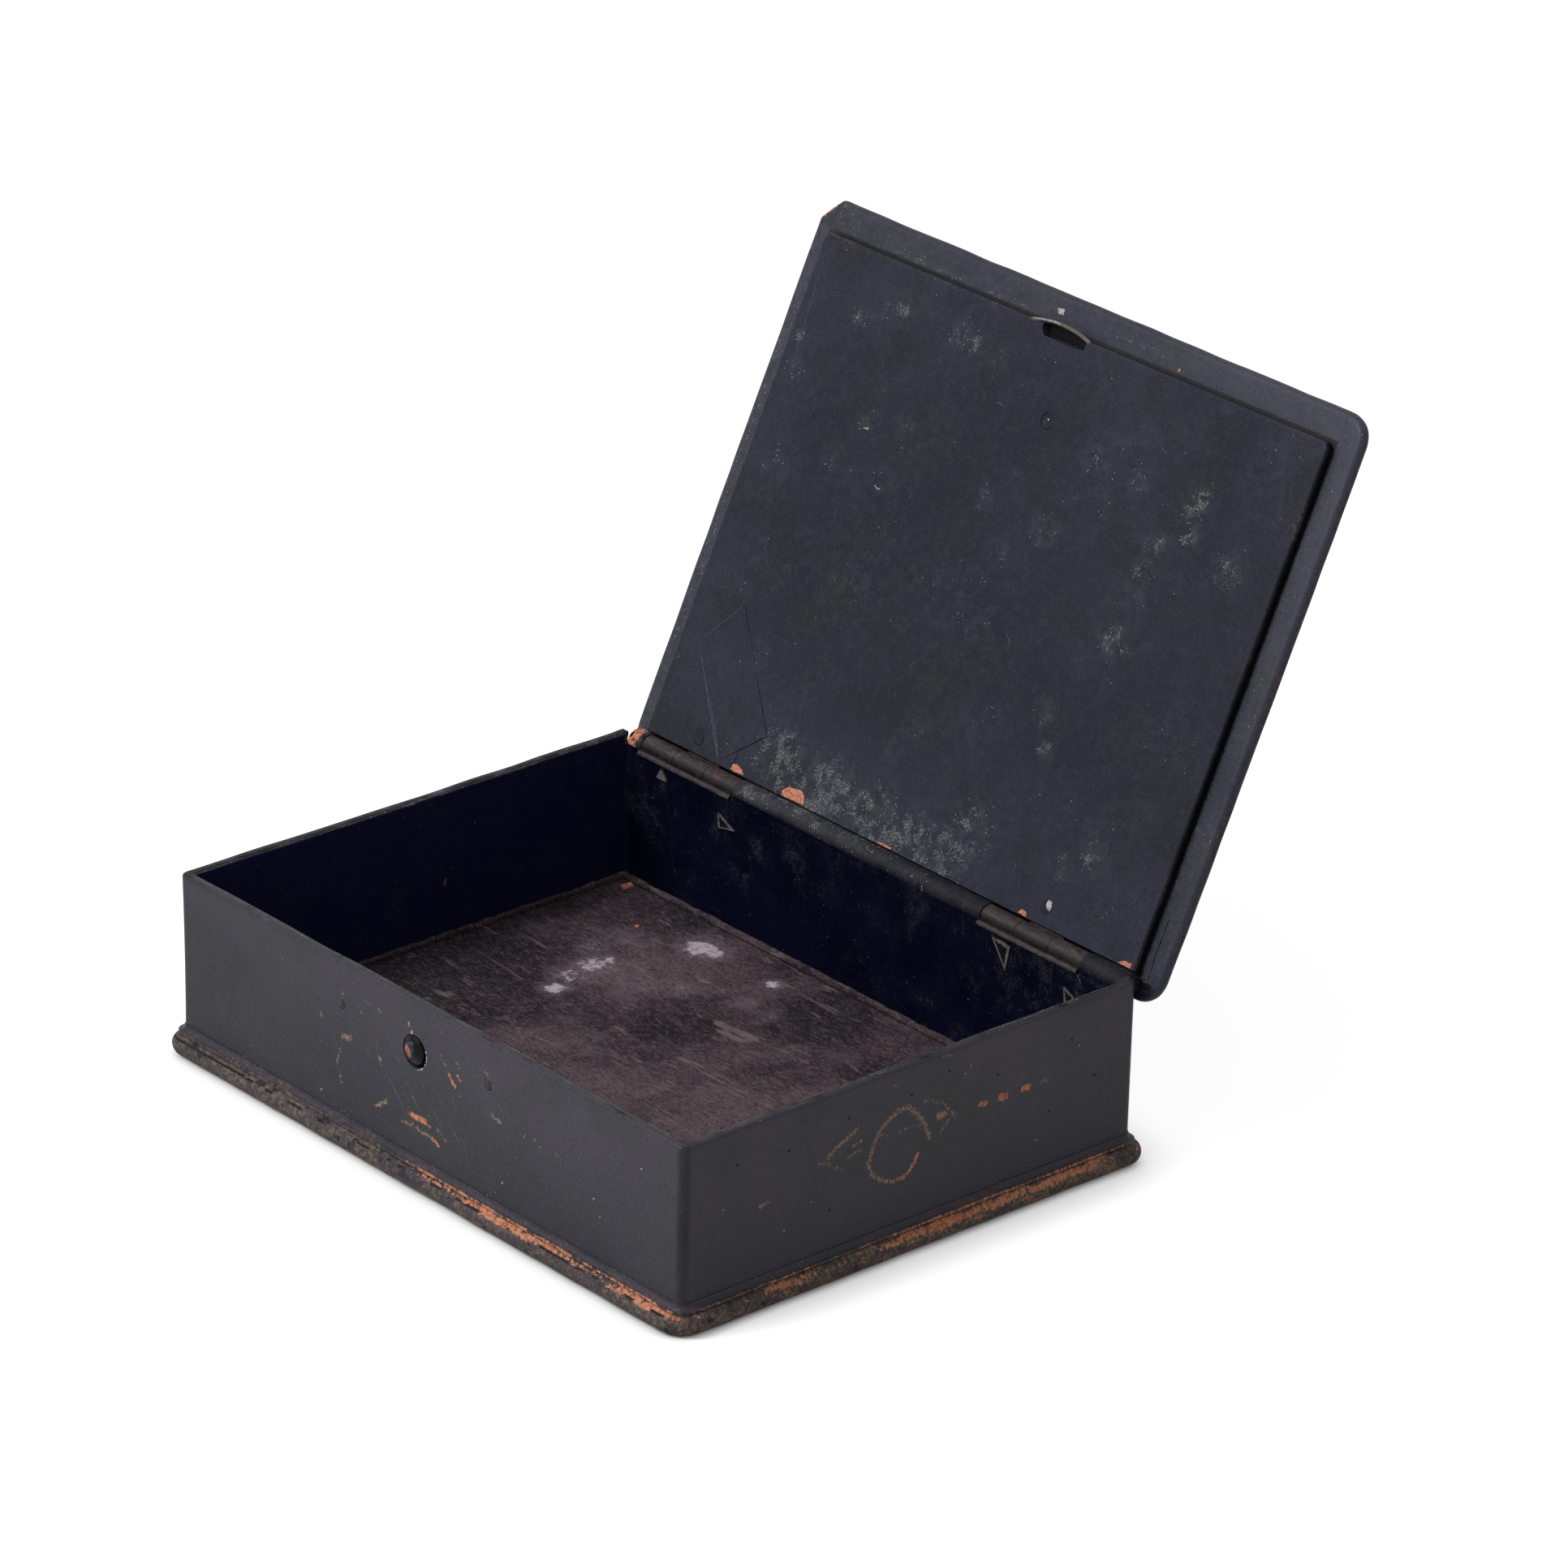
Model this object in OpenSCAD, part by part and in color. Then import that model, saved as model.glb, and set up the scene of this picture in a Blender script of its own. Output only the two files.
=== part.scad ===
// A black lacquered trinket box of built-up paper board, with two let-in hinges and a push-button
// spring catch. The button side faces -Y, +Z is up, and the origin is the centre of the underside.
// The lid stands open. Its pieces are drawn closed, and the module opened() turns them.

/* [Body] */
// Width of the walls, outside, along X
body_w = 144; // [120:1:200]
// Depth of the walls, outside, along Y
body_d = 108.6; // [90:0.1:150]
// Height of the walls above the plinth board
wall_h = 31; // [24:0.5:50]
// Thickness of the walls
wall_t = 2.2; // [1.8:0.1:2.8]
// Radius of the upright corners, outside
corner_r = 1.6; // [1.2:0.1:4]
// Radius of the upright corners, inside
in_corner_r = 0.5; // [0.3:0.1:1]
// Radius that the rim is eased by, inside and outside
rim_ease = 0.7; // [0.3:0.05:0.85]
// Depth of the bite that is broken out of the left rear corner
broken_h = 5.6; // [3:0.1:8]

/* [Base] */
// Thickness of the base board, whose edge is a half round
base_t = 4.3; // [3.4:0.1:6]
// Thickness of the plinth board, whose edge is a hollow moulding
plinth_t = 1.8; // [1.4:0.1:2.4]
// Reach of the base board beyond the walls
base_reach = 2.7; // [2.2:0.1:4]
// Thickness of the floor lining
floor_t = 0.6; // [0.4:0.1:1]
// Height of the floor lining's turned-up edge
floor_lip = 1.6; // [1.2:0.1:2.4]
// Thickness of the rear wall's lining
rear_lining_t = 0.5; // [0.4:0.05:0.8]
// Width of the rear wall that the lining leaves bare at its left end
rear_lining_bare = 15; // [10:0.5:25]

/* [Lid] */
// Angle that the lid stands open at
lid_open_angle = 115; // [90:1:120]
// Thickness of the lid board, whose edge is a half round
lid_t = 2.5; // [2:0.1:4]
// Reach of the lid board beyond the front wall
lid_front_reach = 3; // [2.2:0.1:4]
// Reach of the lid board beyond the rear wall
lid_rear_reach = 2.7; // [2.2:0.1:4]
// Reach of the lid board beyond each side wall, if it were centred
lid_side_reach = 2.3; // [1.8:0.1:4]
// Distance that the lid board stands to the right of the middle
lid_shift = 0.4; // [0:0.1:0.6]
// Radius of the lid board's corners
lid_corner_r = 5.5; // [3:0.1:8]
// Thickness of the raised panel under the lid
panel_t = 2; // [1.6:0.1:3]
// Room between the raised panel and the side walls
panel_side_gap = 1.1; // [0.6:0.1:3]
// Room between the raised panel and the front wall
panel_front_gap = 1.4; // [1.2:0.1:2.5]
// Radius of the raised panel's corners
panel_corner_r = 1.6; // [0.8:0.1:4]
// Radius that the raised panel's lower edge is eased by
panel_ease = 0.4; // [0.2:0.05:0.6]

/* [Hinges] */
// Radius of the round rail on the rear wall's top, which the lid turns round
rail_r = 2.5; // [2.4:0.1:3]
// Radius of the hinge knuckles
knuckle_r = 2.2; // [1.8:0.1:2.3]
// Radius of the hinge pins
pin_r = 0.7; // [0.5:0.05:0.9]
// Length of each hinge
hinge_len = 27; // [20:0.5:34]
// Distance from the left wall's outside to the left hinge
left_hinge_inset = 6.2; // [5:0.1:20]
// Distance from the right wall's outside to the right hinge
right_hinge_inset = 13.5; // [5:0.1:24]
// Thickness of the hinge leaves
leaf_t = 0.8; // [0.6:0.05:1]
// Height of the leaves on the rear wall
case_leaf_h = 11; // [9:0.5:16]
// Reach of the leaves over the raised panel
lid_leaf_reach = 7; // [5:0.5:12]
// Thickness of the prongs that hold the leaves on the rear wall
prong_t = 0.35; // [0.25:0.05:0.5]
// Radius of the rivet heads in the raised panel
rivet_head_r = 1.5; // [1.2:0.1:2]
// Radius of the rivet shanks
rivet_r = 0.8; // [0.6:0.05:1]

/* [Catch] */
// Middle of the button and the catch, from the middle of the box
catch_x = -2.6; // [-12:0.1:12]
// Distance from the rim down to the middle of the button's hole
button_drop = 10.2; // [9:0.1:14]
// Radius of the hole that the button stands in
button_hole_r = 3.3; // [2.6:0.1:4]
// Gap between the button's head and its hole, all round
button_gap = 0.5; // [0.4:0.05:0.8]
// Height of the button's domed head over the front wall
button_proud = 1; // [0.6:0.1:2]
// Radius of the button's stem
button_stem_r = 1.2; // [0.8:0.1:1.6]
// Travel of the button
button_travel = 1.4; // [1:0.1:1.8]
// Distance between the two pins that hold the catch spring
spring_pin_gap = 42.2; // [34:0.1:50]
// Radius of the spring pins' heads
spring_pin_head_r = 1; // [0.9:0.05:1.4]
// Radius of the spring pins' shanks
spring_pin_r = 0.6; // [0.4:0.05:0.8]
// Height of the catch spring's strip
spring_h = 5; // [4:0.1:7]
// Thickness of the catch spring's strip
spring_t = 0.5; // [0.4:0.05:0.7]
// Width of the hook
hook_w = 4.2; // [3:0.1:6]
// Thickness of the hook plate
hook_t = 0.6; // [0.4:0.05:0.8]
// Width of the notch in the raised panel that takes the hook
notch_w = 12; // [9:0.1:18]
// Distance from the middle of the catch to the middle of the notch, to the right
notch_shift = 1.4; // [0:0.1:2]
// Thickness of the keeper bar across the notch
keeper_t = 0.55; // [0.4:0.05:0.8]
// Height of the keeper bar
keeper_h = 0.75; // [0.5:0.05:1]

/* [Hidden] */
$fn = 64;

// Clearances: glued faces, a piece let into another, pieces that turn or slide past each other,
// a pin in its bore, and the closed lid over the rim
glue_gap = 0.04;
let_in_gap = 0.15;
running_gap = 0.2;
pin_gap = 0.05;
lid_gap = 0.1;
// A cut runs past the face that it opens by this much
past = 1;

lacquer = "#1b1b21";
hinge_metal = "#5c5146";
steel = "#77726a";

// Heights, from the surface that the box stands on
plinth_top = base_t + plinth_t;
rim_z = plinth_top + wall_h;
floor_z = plinth_top + glue_gap;
lid_z = rim_z + lid_gap;
panel_z = lid_z - panel_t;

// The space inside the walls
in_w = body_w - 2 * wall_t;
in_d = body_d - 2 * wall_t;
front_inner = -in_d / 2;
rear_inner = in_d / 2;

// The hinge line: the rail is flush with the rear wall's inner face, and stands a little over the rim
rail_proud = 0.2;
axis_y = rear_inner + rail_r;
axis_z = rim_z + rail_proud - rail_r;
rail_end = in_w / 2;
// The hollow in the lid that turns round the rail, a little wider than the walls
hollow_r = rail_r + running_gap;
hollow_end = body_w / 2 + 0.3;

// The hinges, each with three knuckles
left_hinge_x = -body_w / 2 + left_hinge_inset + hinge_len / 2;
right_hinge_x = body_w / 2 - right_hinge_inset - hinge_len / 2;
knuckle_gap = 0.15;
knuckle_len = (hinge_len - 2 * knuckle_gap) / 3;

// The case leaf is let into the rear wall's inner face. Its shoulder stands out over the lining, and
// runs back under the knuckles.
shoulder_front = rear_inner - leaf_t;
shoulder_z = axis_z - leaf_t;
shoulder_end = rear_inner + wall_t / 2;
case_leaf_z = axis_z - case_leaf_h;
// The rear lining is glued to the wall and over the leaves
lining_back = rear_inner - glue_gap;
lining_face = lining_back - rear_lining_t;
lining_slant = 5;
// The corners of each prong, from its hinge's middle and from the hinge line
side_prong = [[10.7, -4.5], [11, -7.5], [15.5, -6.7]];
left_prongs = [[[-6, -0.95], [-7.45, -3.5], [-4.55, -3.5]], side_prong];
right_prongs = [[[-9.1, -1.3], [-4, -2], [-5, -7.2]], side_prong];
prong_stub_r = 0.5;

// The lid leaf lies in a pocket in the raised panel's back, level with the top of its knuckle
lid_leaf_z = axis_z + knuckle_r - leaf_t;
lid_leaf_front = rear_inner - lid_leaf_reach;
lid_leaf_rear = rear_inner - 0.3;
// The rivets stand left of the middle of their leaves
left_rivet_x = left_hinge_x - 2.6;
right_rivet_x = right_hinge_x - 1.2;
rivet_y = rear_inner - lid_leaf_reach / 2;
rivet_head_h = 0.35;

// The raised panel reaches back to where the hollow cuts it
panel_w = in_w - 2 * panel_side_gap;
panel_front = front_inner + panel_front_gap;
panel_rear = axis_y - sqrt(pow(hollow_r, 2) - pow(lid_z - axis_z, 2));

// The catch, from the front wall back: the spring, the hook plate, and the keeper bar over them
button_z = rim_z - button_drop;
// The head hangs a little left and high in its hole
button_shift = [-0.2, 0.25];
spring_z = button_z + 1.7;
spring_y = front_inner + glue_gap;
spring_end = spring_pin_gap / 2 + 3;
spring_pad_w = 10;
spring_pad_drop = 3.2;
hook_y = spring_y + spring_t + glue_gap;
hook_pad_w = 7;
keeper_y = front_inner + 0.25;
keeper_top = panel_z + keeper_h;
notch_x = catch_x + notch_shift;
keeper_grip = 0.8;
keeper_half = notch_w / 2 + notch_shift + keeper_grip;
keeper_bulge = panel_front + 0.05 - keeper_y;
keeper_arc_r = (pow(keeper_half, 2) + pow(keeper_bulge, 2)) / (2 * keeper_bulge);
hook_upper_y = max(hook_y, keeper_y + keeper_t + let_in_gap);
nose_reach = 0.6;
nose_z = keeper_top + 0.1;
nose_h = 0.5;
notch_d = hook_upper_y + hook_t + button_travel + 0.35 - panel_front;

module rounded_outline(w, d, r) {
    square([w, d - 2 * r], center = true);
    square([w - 2 * r, d], center = true);
    for (sx = [-1, 1], sy = [-1, 1])
        translate([sx * (w / 2 - r), sy * (d / 2 - r)]) circle(r);
}

module rounded_plate(w, d, r, h) {
    linear_extrude(h) rounded_outline(w, d, r);
}

// Sweeps an edge section round a rounded rectangle. The section's X is the distance outward from
// the centres of the corners, so it is r at the outline, and its Y is the height.
module sweep_edge(w, d, r) {
    for (side = [0:3]) {
        along = side % 2 == 0 ? w - 2 * r : d - 2 * r;
        out = side % 2 == 0 ? d / 2 - r : w / 2 - r;
        rotate([0, 0, side * 90]) {
            translate([-along / 2, -out, 0]) rotate([90, 0, 90]) linear_extrude(along)
                mirror([1, 0]) children();
            translate([along / 2, -out, 0]) rotate([0, 0, -90]) rotate_extrude(angle = 90) children();
        }
    }
}

// A board with a half-round edge all round
module half_round_board(w, d, r, t) {
    core_r = r - t / 2;
    rounded_plate(w - t, d - t, core_r, t);
    sweep_edge(w, d, r) intersection() {
        translate([core_r, t / 2]) circle(t / 2);
        translate([core_r - 0.01, 0]) square([t, t]);
    }
}

// A plate whose lower edge is eased all round
module eased_plate(w, d, r, h, ease) {
    rounded_plate(w - 2 * ease, d - 2 * ease, r - ease, h);
    translate([0, 0, ease]) rounded_plate(w, d, r, h - ease);
    sweep_edge(w, d, r) intersection() {
        translate([r - ease, ease]) circle(ease);
        translate([r - ease - 0.01, 0]) square([2 * ease, ease + 0.01]);
    }
}

module block(x0, x1, y0, y1, z0, z1) {
    translate([x0, y0, z0]) cube([x1 - x0, y1 - y0, z1 - z0]);
}

// A cylinder on the hinge line, between two places along it
module on_hinge_line(x0, x1, r) {
    translate([x0, axis_y, axis_z]) rotate([0, 90, 0]) cylinder(h = x1 - x0, r = r);
}

// A cylinder square to the front wall, between two places in depth
module through_front(x, z, y0, y1, r) {
    translate([x, y1, z]) rotate([90, 0, 0]) cylinder(h = y1 - y0, r = r);
}

// A turned piece in the front wall. Its profile's X is the radius, and its Y the distance outward
// from the wall's face.
module turned_in_front(x, z) {
    translate([x, -body_d / 2, z]) rotate([90, 0, 0]) rotate_extrude() children();
}

// The profile of a dome of radius r and height h
module dome_profile(r, h) {
    ball_r = (r * r + h * h) / (2 * h);
    intersection() {
        translate([0, h - ball_r]) circle(ball_r);
        square([r, h]);
    }
}

// A rectangle in a turned profile, from the axis out to r, between two distances outward
module turned_step(r, y0, y1) {
    translate([0, y0]) square([r, y1 - y0]);
}

// Turns a lid piece, drawn closed, to where it stands open
module opened() {
    translate([0, axis_y, axis_z]) rotate([-lid_open_angle, 0, 0]) translate([0, -axis_y, -axis_z]) children();
}

module base_board() {
    color(lacquer)
        half_round_board(body_w + 2 * base_reach, body_d + 2 * base_reach, corner_r + base_reach, base_t);
}

// The plinth's edge is a hollow that sweeps in from the base board to the foot of the walls
module plinth_board() {
    nose = 0.6;
    ledge = 0.15;
    hollow = plinth_t - nose;
    color(lacquer) translate([0, 0, base_t]) {
        rounded_plate(body_w, body_d, corner_r, plinth_t);
        sweep_edge(body_w, body_d, corner_r) difference() {
            translate([corner_r - 0.01, 0]) square([hollow + ledge, plinth_t]);
            translate([corner_r + ledge + hollow, plinth_t]) circle(hollow);
        }
    }
}

// What the walls enclose, with the rim's inner edge eased
module wall_bore() {
    ease_z = rim_z - rim_ease;
    translate([0, 0, plinth_top - past]) rounded_plate(in_w, in_d, in_corner_r, wall_h + 2 * past);
    sweep_edge(in_w, in_d, in_corner_r) difference() {
        translate([in_corner_r - 0.01, ease_z]) square([rim_ease + 0.01, rim_ease + past]);
        translate([in_corner_r + rim_ease, ease_z]) circle(rim_ease);
    }
}

// The walls are one wound tube. The rear wall stops short for the rail, and its inner face takes the
// hinges' leaves.
module wall_frame() {
    color(lacquer) difference() {
        translate([0, 0, rim_z]) mirror([0, 0, 1]) eased_plate(body_w, body_d, corner_r, wall_h, rim_ease);
        wall_bore();
        block(-rail_end, rail_end, rear_inner - in_corner_r, body_d / 2 + past, axis_z, rim_z + past);
        on_hinge_line(-rail_end, rail_end, rail_r + glue_gap);
        hinge_seat(left_hinge_x);
        hinge_seat(right_hinge_x);
        broken_corner();
        through_front(catch_x, button_z, -body_d / 2 - past, front_inner + past, button_hole_r);
        for (side = [-1, 1])
            through_front(catch_x + side * spring_pin_gap / 2, spring_z, -body_d / 2 - past, front_inner + past,
                          spring_pin_r + pin_gap);
    }
}

// What a hinge takes out of the rear wall: a recess for its leaf, deeper at the shoulder
module hinge_seat(middle) {
    half = hinge_len / 2 + let_in_gap;
    block(middle - half, middle + half, rear_inner - past, rear_inner + leaf_t + glue_gap,
          case_leaf_z - let_in_gap, rim_z);
    block(middle - half, middle + half, rear_inner - past, shoulder_end, shoulder_z - glue_gap, rim_z);
}

// The bite out of the left rear corner: seen from the side, it runs down and back from the rim
module broken_corner() {
    translate([-body_w / 2 - past, 0, rim_z]) rotate([90, 0, 90]) linear_extrude(wall_t + past)
        polygon([[rear_inner + 0.8, past], [rear_inner + 0.6, -0.2 * broken_h], [rear_inner + 1.2, -0.6 * broken_h],
                 [body_d / 2 + 0.4, -broken_h], [body_d / 2 + past, past]]);
}

// The floor lining is turned up along the walls
module floor_lining() {
    w = in_w - 2 * let_in_gap;
    d = in_d - 2 * let_in_gap;
    color("#4a4046") translate([0, 0, floor_z]) difference() {
        rounded_plate(w, d, in_corner_r, floor_lip);
        translate([0, 0, floor_t]) rounded_plate(w - 2 * floor_t, d - 2 * floor_t, in_corner_r / 2, floor_lip);
    }
}

// The rear wall's lining has a slanting left end. It covers the hinges' leaves up to their shoulders,
// and their prongs pass through it.
module rear_lining() {
    low = floor_z + floor_lip + glue_gap;
    high = shoulder_z - glue_gap;
    left = -rail_end + rear_lining_bare;
    right = in_w / 2 - in_corner_r - let_in_gap;
    color("#1e1f2b") difference() {
        translate([0, lining_back, 0]) rotate([90, 0, 0]) linear_extrude(rear_lining_t)
            polygon([[left + 0.3 * lining_slant, low], [right, low], [right, high],
                     [left - 0.7 * lining_slant, high]]);
        for (corners = left_prongs)
            prong_stub(left_hinge_x, corners, lining_face - past, rear_inner + past, prong_stub_r + glue_gap);
        for (corners = right_prongs)
            prong_stub(right_hinge_x, corners, lining_face - past, rear_inner + past, prong_stub_r + glue_gap);
    }
}

// One stretch of the rail that the lid turns round
module rail(x0, x1) {
    color(lacquer) on_hinge_line(x0, x1, rail_r);
}

module rear_rail_left() {
    rail(-rail_end + glue_gap, left_hinge_x - hinge_len / 2 - let_in_gap);
}

module rear_rail_middle() {
    rail(left_hinge_x + hinge_len / 2 + let_in_gap, right_hinge_x - hinge_len / 2 - let_in_gap);
}

module rear_rail_right() {
    rail(right_hinge_x + hinge_len / 2 + let_in_gap, rail_end - glue_gap);
}

// The left end of one of a hinge's knuckles, counted from 0
function knuckle_x(middle, i) = middle - hinge_len / 2 + i * (knuckle_len + knuckle_gap);

module pin_bore(middle) {
    on_hinge_line(middle - hinge_len / 2 - past, middle + hinge_len / 2 + past, pin_r + pin_gap);
}

// The round stub at the middle of a prong
module prong_stub(middle, corners, y0, y1, r) {
    place = (corners[0] + corners[1] + corners[2]) / 3;
    through_front(middle + place[0], axis_z + place[1], y0, y1, r);
}

// A prong: a stub from the leaf through the lining, and a thin triangle hammered flat on it
module prong(middle, corners) {
    back = lining_face - glue_gap;
    translate([middle, back, axis_z]) rotate([90, 0, 0]) linear_extrude(prong_t) polygon(corners);
    prong_stub(middle, corners, back - prong_t / 2, rear_inner + leaf_t / 2, prong_stub_r);
}

// The case leaf holds a hinge's two outer knuckles. Its shoulder's front edge is rounded.
module case_leaf(middle, prongs) {
    x0 = middle - hinge_len / 2;
    x1 = middle + hinge_len / 2;
    color(hinge_metal) difference() {
        union() {
            block(x0, x1, rear_inner, rear_inner + leaf_t, case_leaf_z, axis_z);
            intersection() {
                translate([x0, rear_inner, shoulder_z]) rotate([0, 90, 0])
                    cylinder(h = hinge_len, r = leaf_t);
                block(x0, x1, shoulder_front - past, rear_inner, shoulder_z, axis_z);
            }
            block(x0, x1, rear_inner, shoulder_end - glue_gap, shoulder_z, axis_z);
            for (i = [0, 2])
                on_hinge_line(knuckle_x(middle, i), knuckle_x(middle, i) + knuckle_len, knuckle_r);
            for (corners = prongs)
                prong(middle, corners);
        }
        on_hinge_line(knuckle_x(middle, 1) - knuckle_gap, knuckle_x(middle, 2), knuckle_r + running_gap);
        pin_bore(middle);
    }
}

// The lid leaf holds the middle knuckle
module lid_leaf(middle, rivet_x) {
    tab = knuckle_x(middle, 1);
    color(hinge_metal) opened() difference() {
        union() {
            block(middle - hinge_len / 2, middle + hinge_len / 2, lid_leaf_front, lid_leaf_rear,
                  lid_leaf_z, lid_leaf_z + leaf_t);
            block(tab, tab + knuckle_len, lid_leaf_rear - 0.1, axis_y, lid_leaf_z, lid_leaf_z + leaf_t);
            on_hinge_line(tab, tab + knuckle_len, knuckle_r);
        }
        pin_bore(middle);
        translate([rivet_x, rivet_y, lid_leaf_z - past]) cylinder(h = leaf_t + 2 * past, r = rivet_r + glue_gap);
    }
}

module hinge_pin(middle) {
    color(steel) on_hinge_line(middle - hinge_len / 2, middle + hinge_len / 2, pin_r);
}

module left_hinge_case_leaf() {
    case_leaf(left_hinge_x, left_prongs);
}

module left_hinge_lid_leaf() {
    lid_leaf(left_hinge_x, left_rivet_x);
}

module left_hinge_pin() {
    hinge_pin(left_hinge_x);
}

module right_hinge_case_leaf() {
    case_leaf(right_hinge_x, right_prongs);
}

module right_hinge_lid_leaf() {
    lid_leaf(right_hinge_x, right_rivet_x);
}

module right_hinge_pin() {
    hinge_pin(right_hinge_x);
}

// A rivet's head lies in the raised panel's lower face, and its shank passes through the lid leaf
module rivet(x) {
    translate([x, rivet_y, panel_z]) cylinder(h = rivet_head_h, r = rivet_head_r);
    translate([x, rivet_y, panel_z]) cylinder(h = lid_leaf_z + leaf_t - panel_z, r = rivet_r);
}

module lid_leaf_rivets() {
    color(lacquer) opened()
        for (x = [left_rivet_x, right_rivet_x])
            rivet(x);
}

// The lid board's rear lip is hollowed, so that it turns round the rail
module lid_board() {
    front = -body_d / 2 - lid_front_reach;
    rear = body_d / 2 + lid_rear_reach;
    color(lacquer) opened() difference() {
        translate([lid_shift, (front + rear) / 2, lid_z])
            half_round_board(body_w + 2 * lid_side_reach, rear - front, lid_corner_r, lid_t);
        on_hinge_line(-hollow_end, hollow_end, hollow_r);
        block(-hollow_end, hollow_end, axis_y, rear + past, lid_z - past, axis_z + hollow_r);
    }
}

// The raised panel fits between the walls when the lid is closed
module lid_panel() {
    depth = panel_rear - panel_front;
    color(lacquer) opened() difference() {
        translate([0, panel_front + depth / 2, panel_z])
            eased_plate(panel_w, depth, panel_corner_r, panel_t - glue_gap, panel_ease);
        on_hinge_line(-hollow_end, hollow_end, hollow_r);
        lid_leaf_pocket(left_hinge_x, left_rivet_x);
        lid_leaf_pocket(right_hinge_x, right_rivet_x);
        block(notch_x - notch_w / 2, notch_x + notch_w / 2, panel_front - past, panel_front + notch_d,
              panel_z - past, lid_z + past);
        translate([0, 0, panel_z - past]) linear_extrude(keeper_h + past) keeper_outline(glue_gap);
    }
}

// What a hinge takes out of the raised panel: the leaf's pocket, the rivet, and room over the case leaf
module lid_leaf_pocket(middle, rivet_x) {
    half = hinge_len / 2 + let_in_gap;
    block(middle - half, middle + half, lid_leaf_front - let_in_gap, axis_y, lid_leaf_z - glue_gap, lid_z + past);
    block(middle - half, middle + half, shoulder_front - running_gap, axis_y, panel_z - past,
          axis_z + running_gap);
    translate([rivet_x, rivet_y, panel_z - past]) cylinder(h = past + rivet_head_h + glue_gap,
                                                           r = rivet_head_r + let_in_gap);
    translate([rivet_x, rivet_y, panel_z]) cylinder(h = panel_t, r = rivet_r + glue_gap);
}

// The keeper bar, seen from above: an arc that bulges towards the front wall
module keeper_outline(room) {
    translate([catch_x, keeper_y + keeper_arc_r]) intersection() {
        difference() {
            circle(keeper_arc_r + room, $fn = 180);
            circle(keeper_arc_r - keeper_t - room, $fn = 180);
        }
        translate([-keeper_half - room, -keeper_arc_r - room])
            square([2 * (keeper_half + room), keeper_bulge + 2 * keeper_t]);
    }
}

module keeper_bar() {
    color(steel) opened() translate([0, 0, panel_z]) linear_extrude(keeper_h - glue_gap) keeper_outline(0);
}

// The button's stem is riveted over behind the hook plate
module push_button() {
    head_r = button_hole_r - button_gap;
    head_back = -wall_t - glue_gap / 2;
    tail_h = 0.4;
    tail_r = button_stem_r + 0.5;
    tail_back = -body_d / 2 - hook_y - hook_t - tail_h;
    color("#18181c") turned_in_front(catch_x + button_shift[0], button_z + button_shift[1]) {
        dome_profile(head_r, button_proud);
        turned_step(head_r, head_back, 0);
        turned_step(button_stem_r, tail_back, head_back);
        turned_step(tail_r, tail_back, tail_back + tail_h - glue_gap);
    }
}

// The hook plate rides on the button's stem. Its tongue steps back behind the keeper bar, and ends in
// a nose that hooks over the bar when the lid is closed.
module catch_hook() {
    low = button_z - spring_pad_drop + 0.5;
    pad_top = spring_z + spring_h / 2;
    step = nose_z - 1.8;
    top = nose_z + nose_h;
    arch_r = hook_w * 0.68;
    color(steel) difference() {
        union() {
            block(catch_x - hook_pad_w / 2, catch_x + hook_pad_w / 2, hook_y, hook_y + hook_t, low, pad_top);
            intersection() {
                translate([catch_x - hook_w / 2, 0, 0]) rotate([90, 0, 90]) linear_extrude(hook_w)
                    polygon([[hook_y, low], [hook_y + hook_t, low], [hook_y + hook_t, step],
                             [hook_upper_y + hook_t, step + 0.5], [hook_upper_y + hook_t, top],
                             [hook_upper_y - nose_reach, top], [hook_upper_y - nose_reach, nose_z],
                             [hook_upper_y, nose_z], [hook_upper_y, step + 0.8], [hook_y, step + 0.3]]);
                union() {
                    through_front(catch_x, top - arch_r, hook_y - past, hook_upper_y + 2 * past, arch_r);
                    block(catch_x - hook_w, catch_x + hook_w, hook_y - past, hook_upper_y + 2 * past, low, top - arch_r);
                }
            }
        }
        through_front(catch_x + button_shift[0], button_z + button_shift[1], hook_y - past, hook_y + hook_t + past,
                      button_stem_r + pin_gap);
    }
}

// The spring is a flat strip behind the front wall, pinned at both ends, with a pad for the button
module leaf_spring() {
    y1 = spring_y + spring_t;
    color(steel) difference() {
        union() {
            block(catch_x - spring_end, catch_x + spring_end, spring_y, y1, spring_z - spring_h / 2,
                  spring_z + spring_h / 2);
            block(catch_x - spring_pad_w / 2, catch_x + spring_pad_w / 2, spring_y, y1,
                  button_z - spring_pad_drop, spring_z);
        }
        through_front(catch_x + button_shift[0], button_z + button_shift[1], spring_y - past, y1 + past,
                      button_stem_r + let_in_gap);
        for (side = [-1, 1])
            through_front(catch_x + side * spring_pin_gap / 2, spring_z, spring_y - past, y1 + past,
                          spring_pin_r + pin_gap);
    }
}

// The spring pins: domed heads outside, and tails clenched over the spring inside
module spring_pins() {
    head_h = 0.3;
    tail_top = -body_d / 2 - spring_y - spring_t - glue_gap;
    tail_back = tail_top - head_h;
    color("#2a2725")
        for (side = [-1, 1])
            turned_in_front(catch_x + side * spring_pin_gap / 2, spring_z) {
                translate([0, glue_gap]) dome_profile(spring_pin_head_r, head_h);
                turned_step(spring_pin_r, tail_back, glue_gap);
                turned_step(spring_pin_head_r - 0.1, tail_back, tail_top);
            }
}

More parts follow.
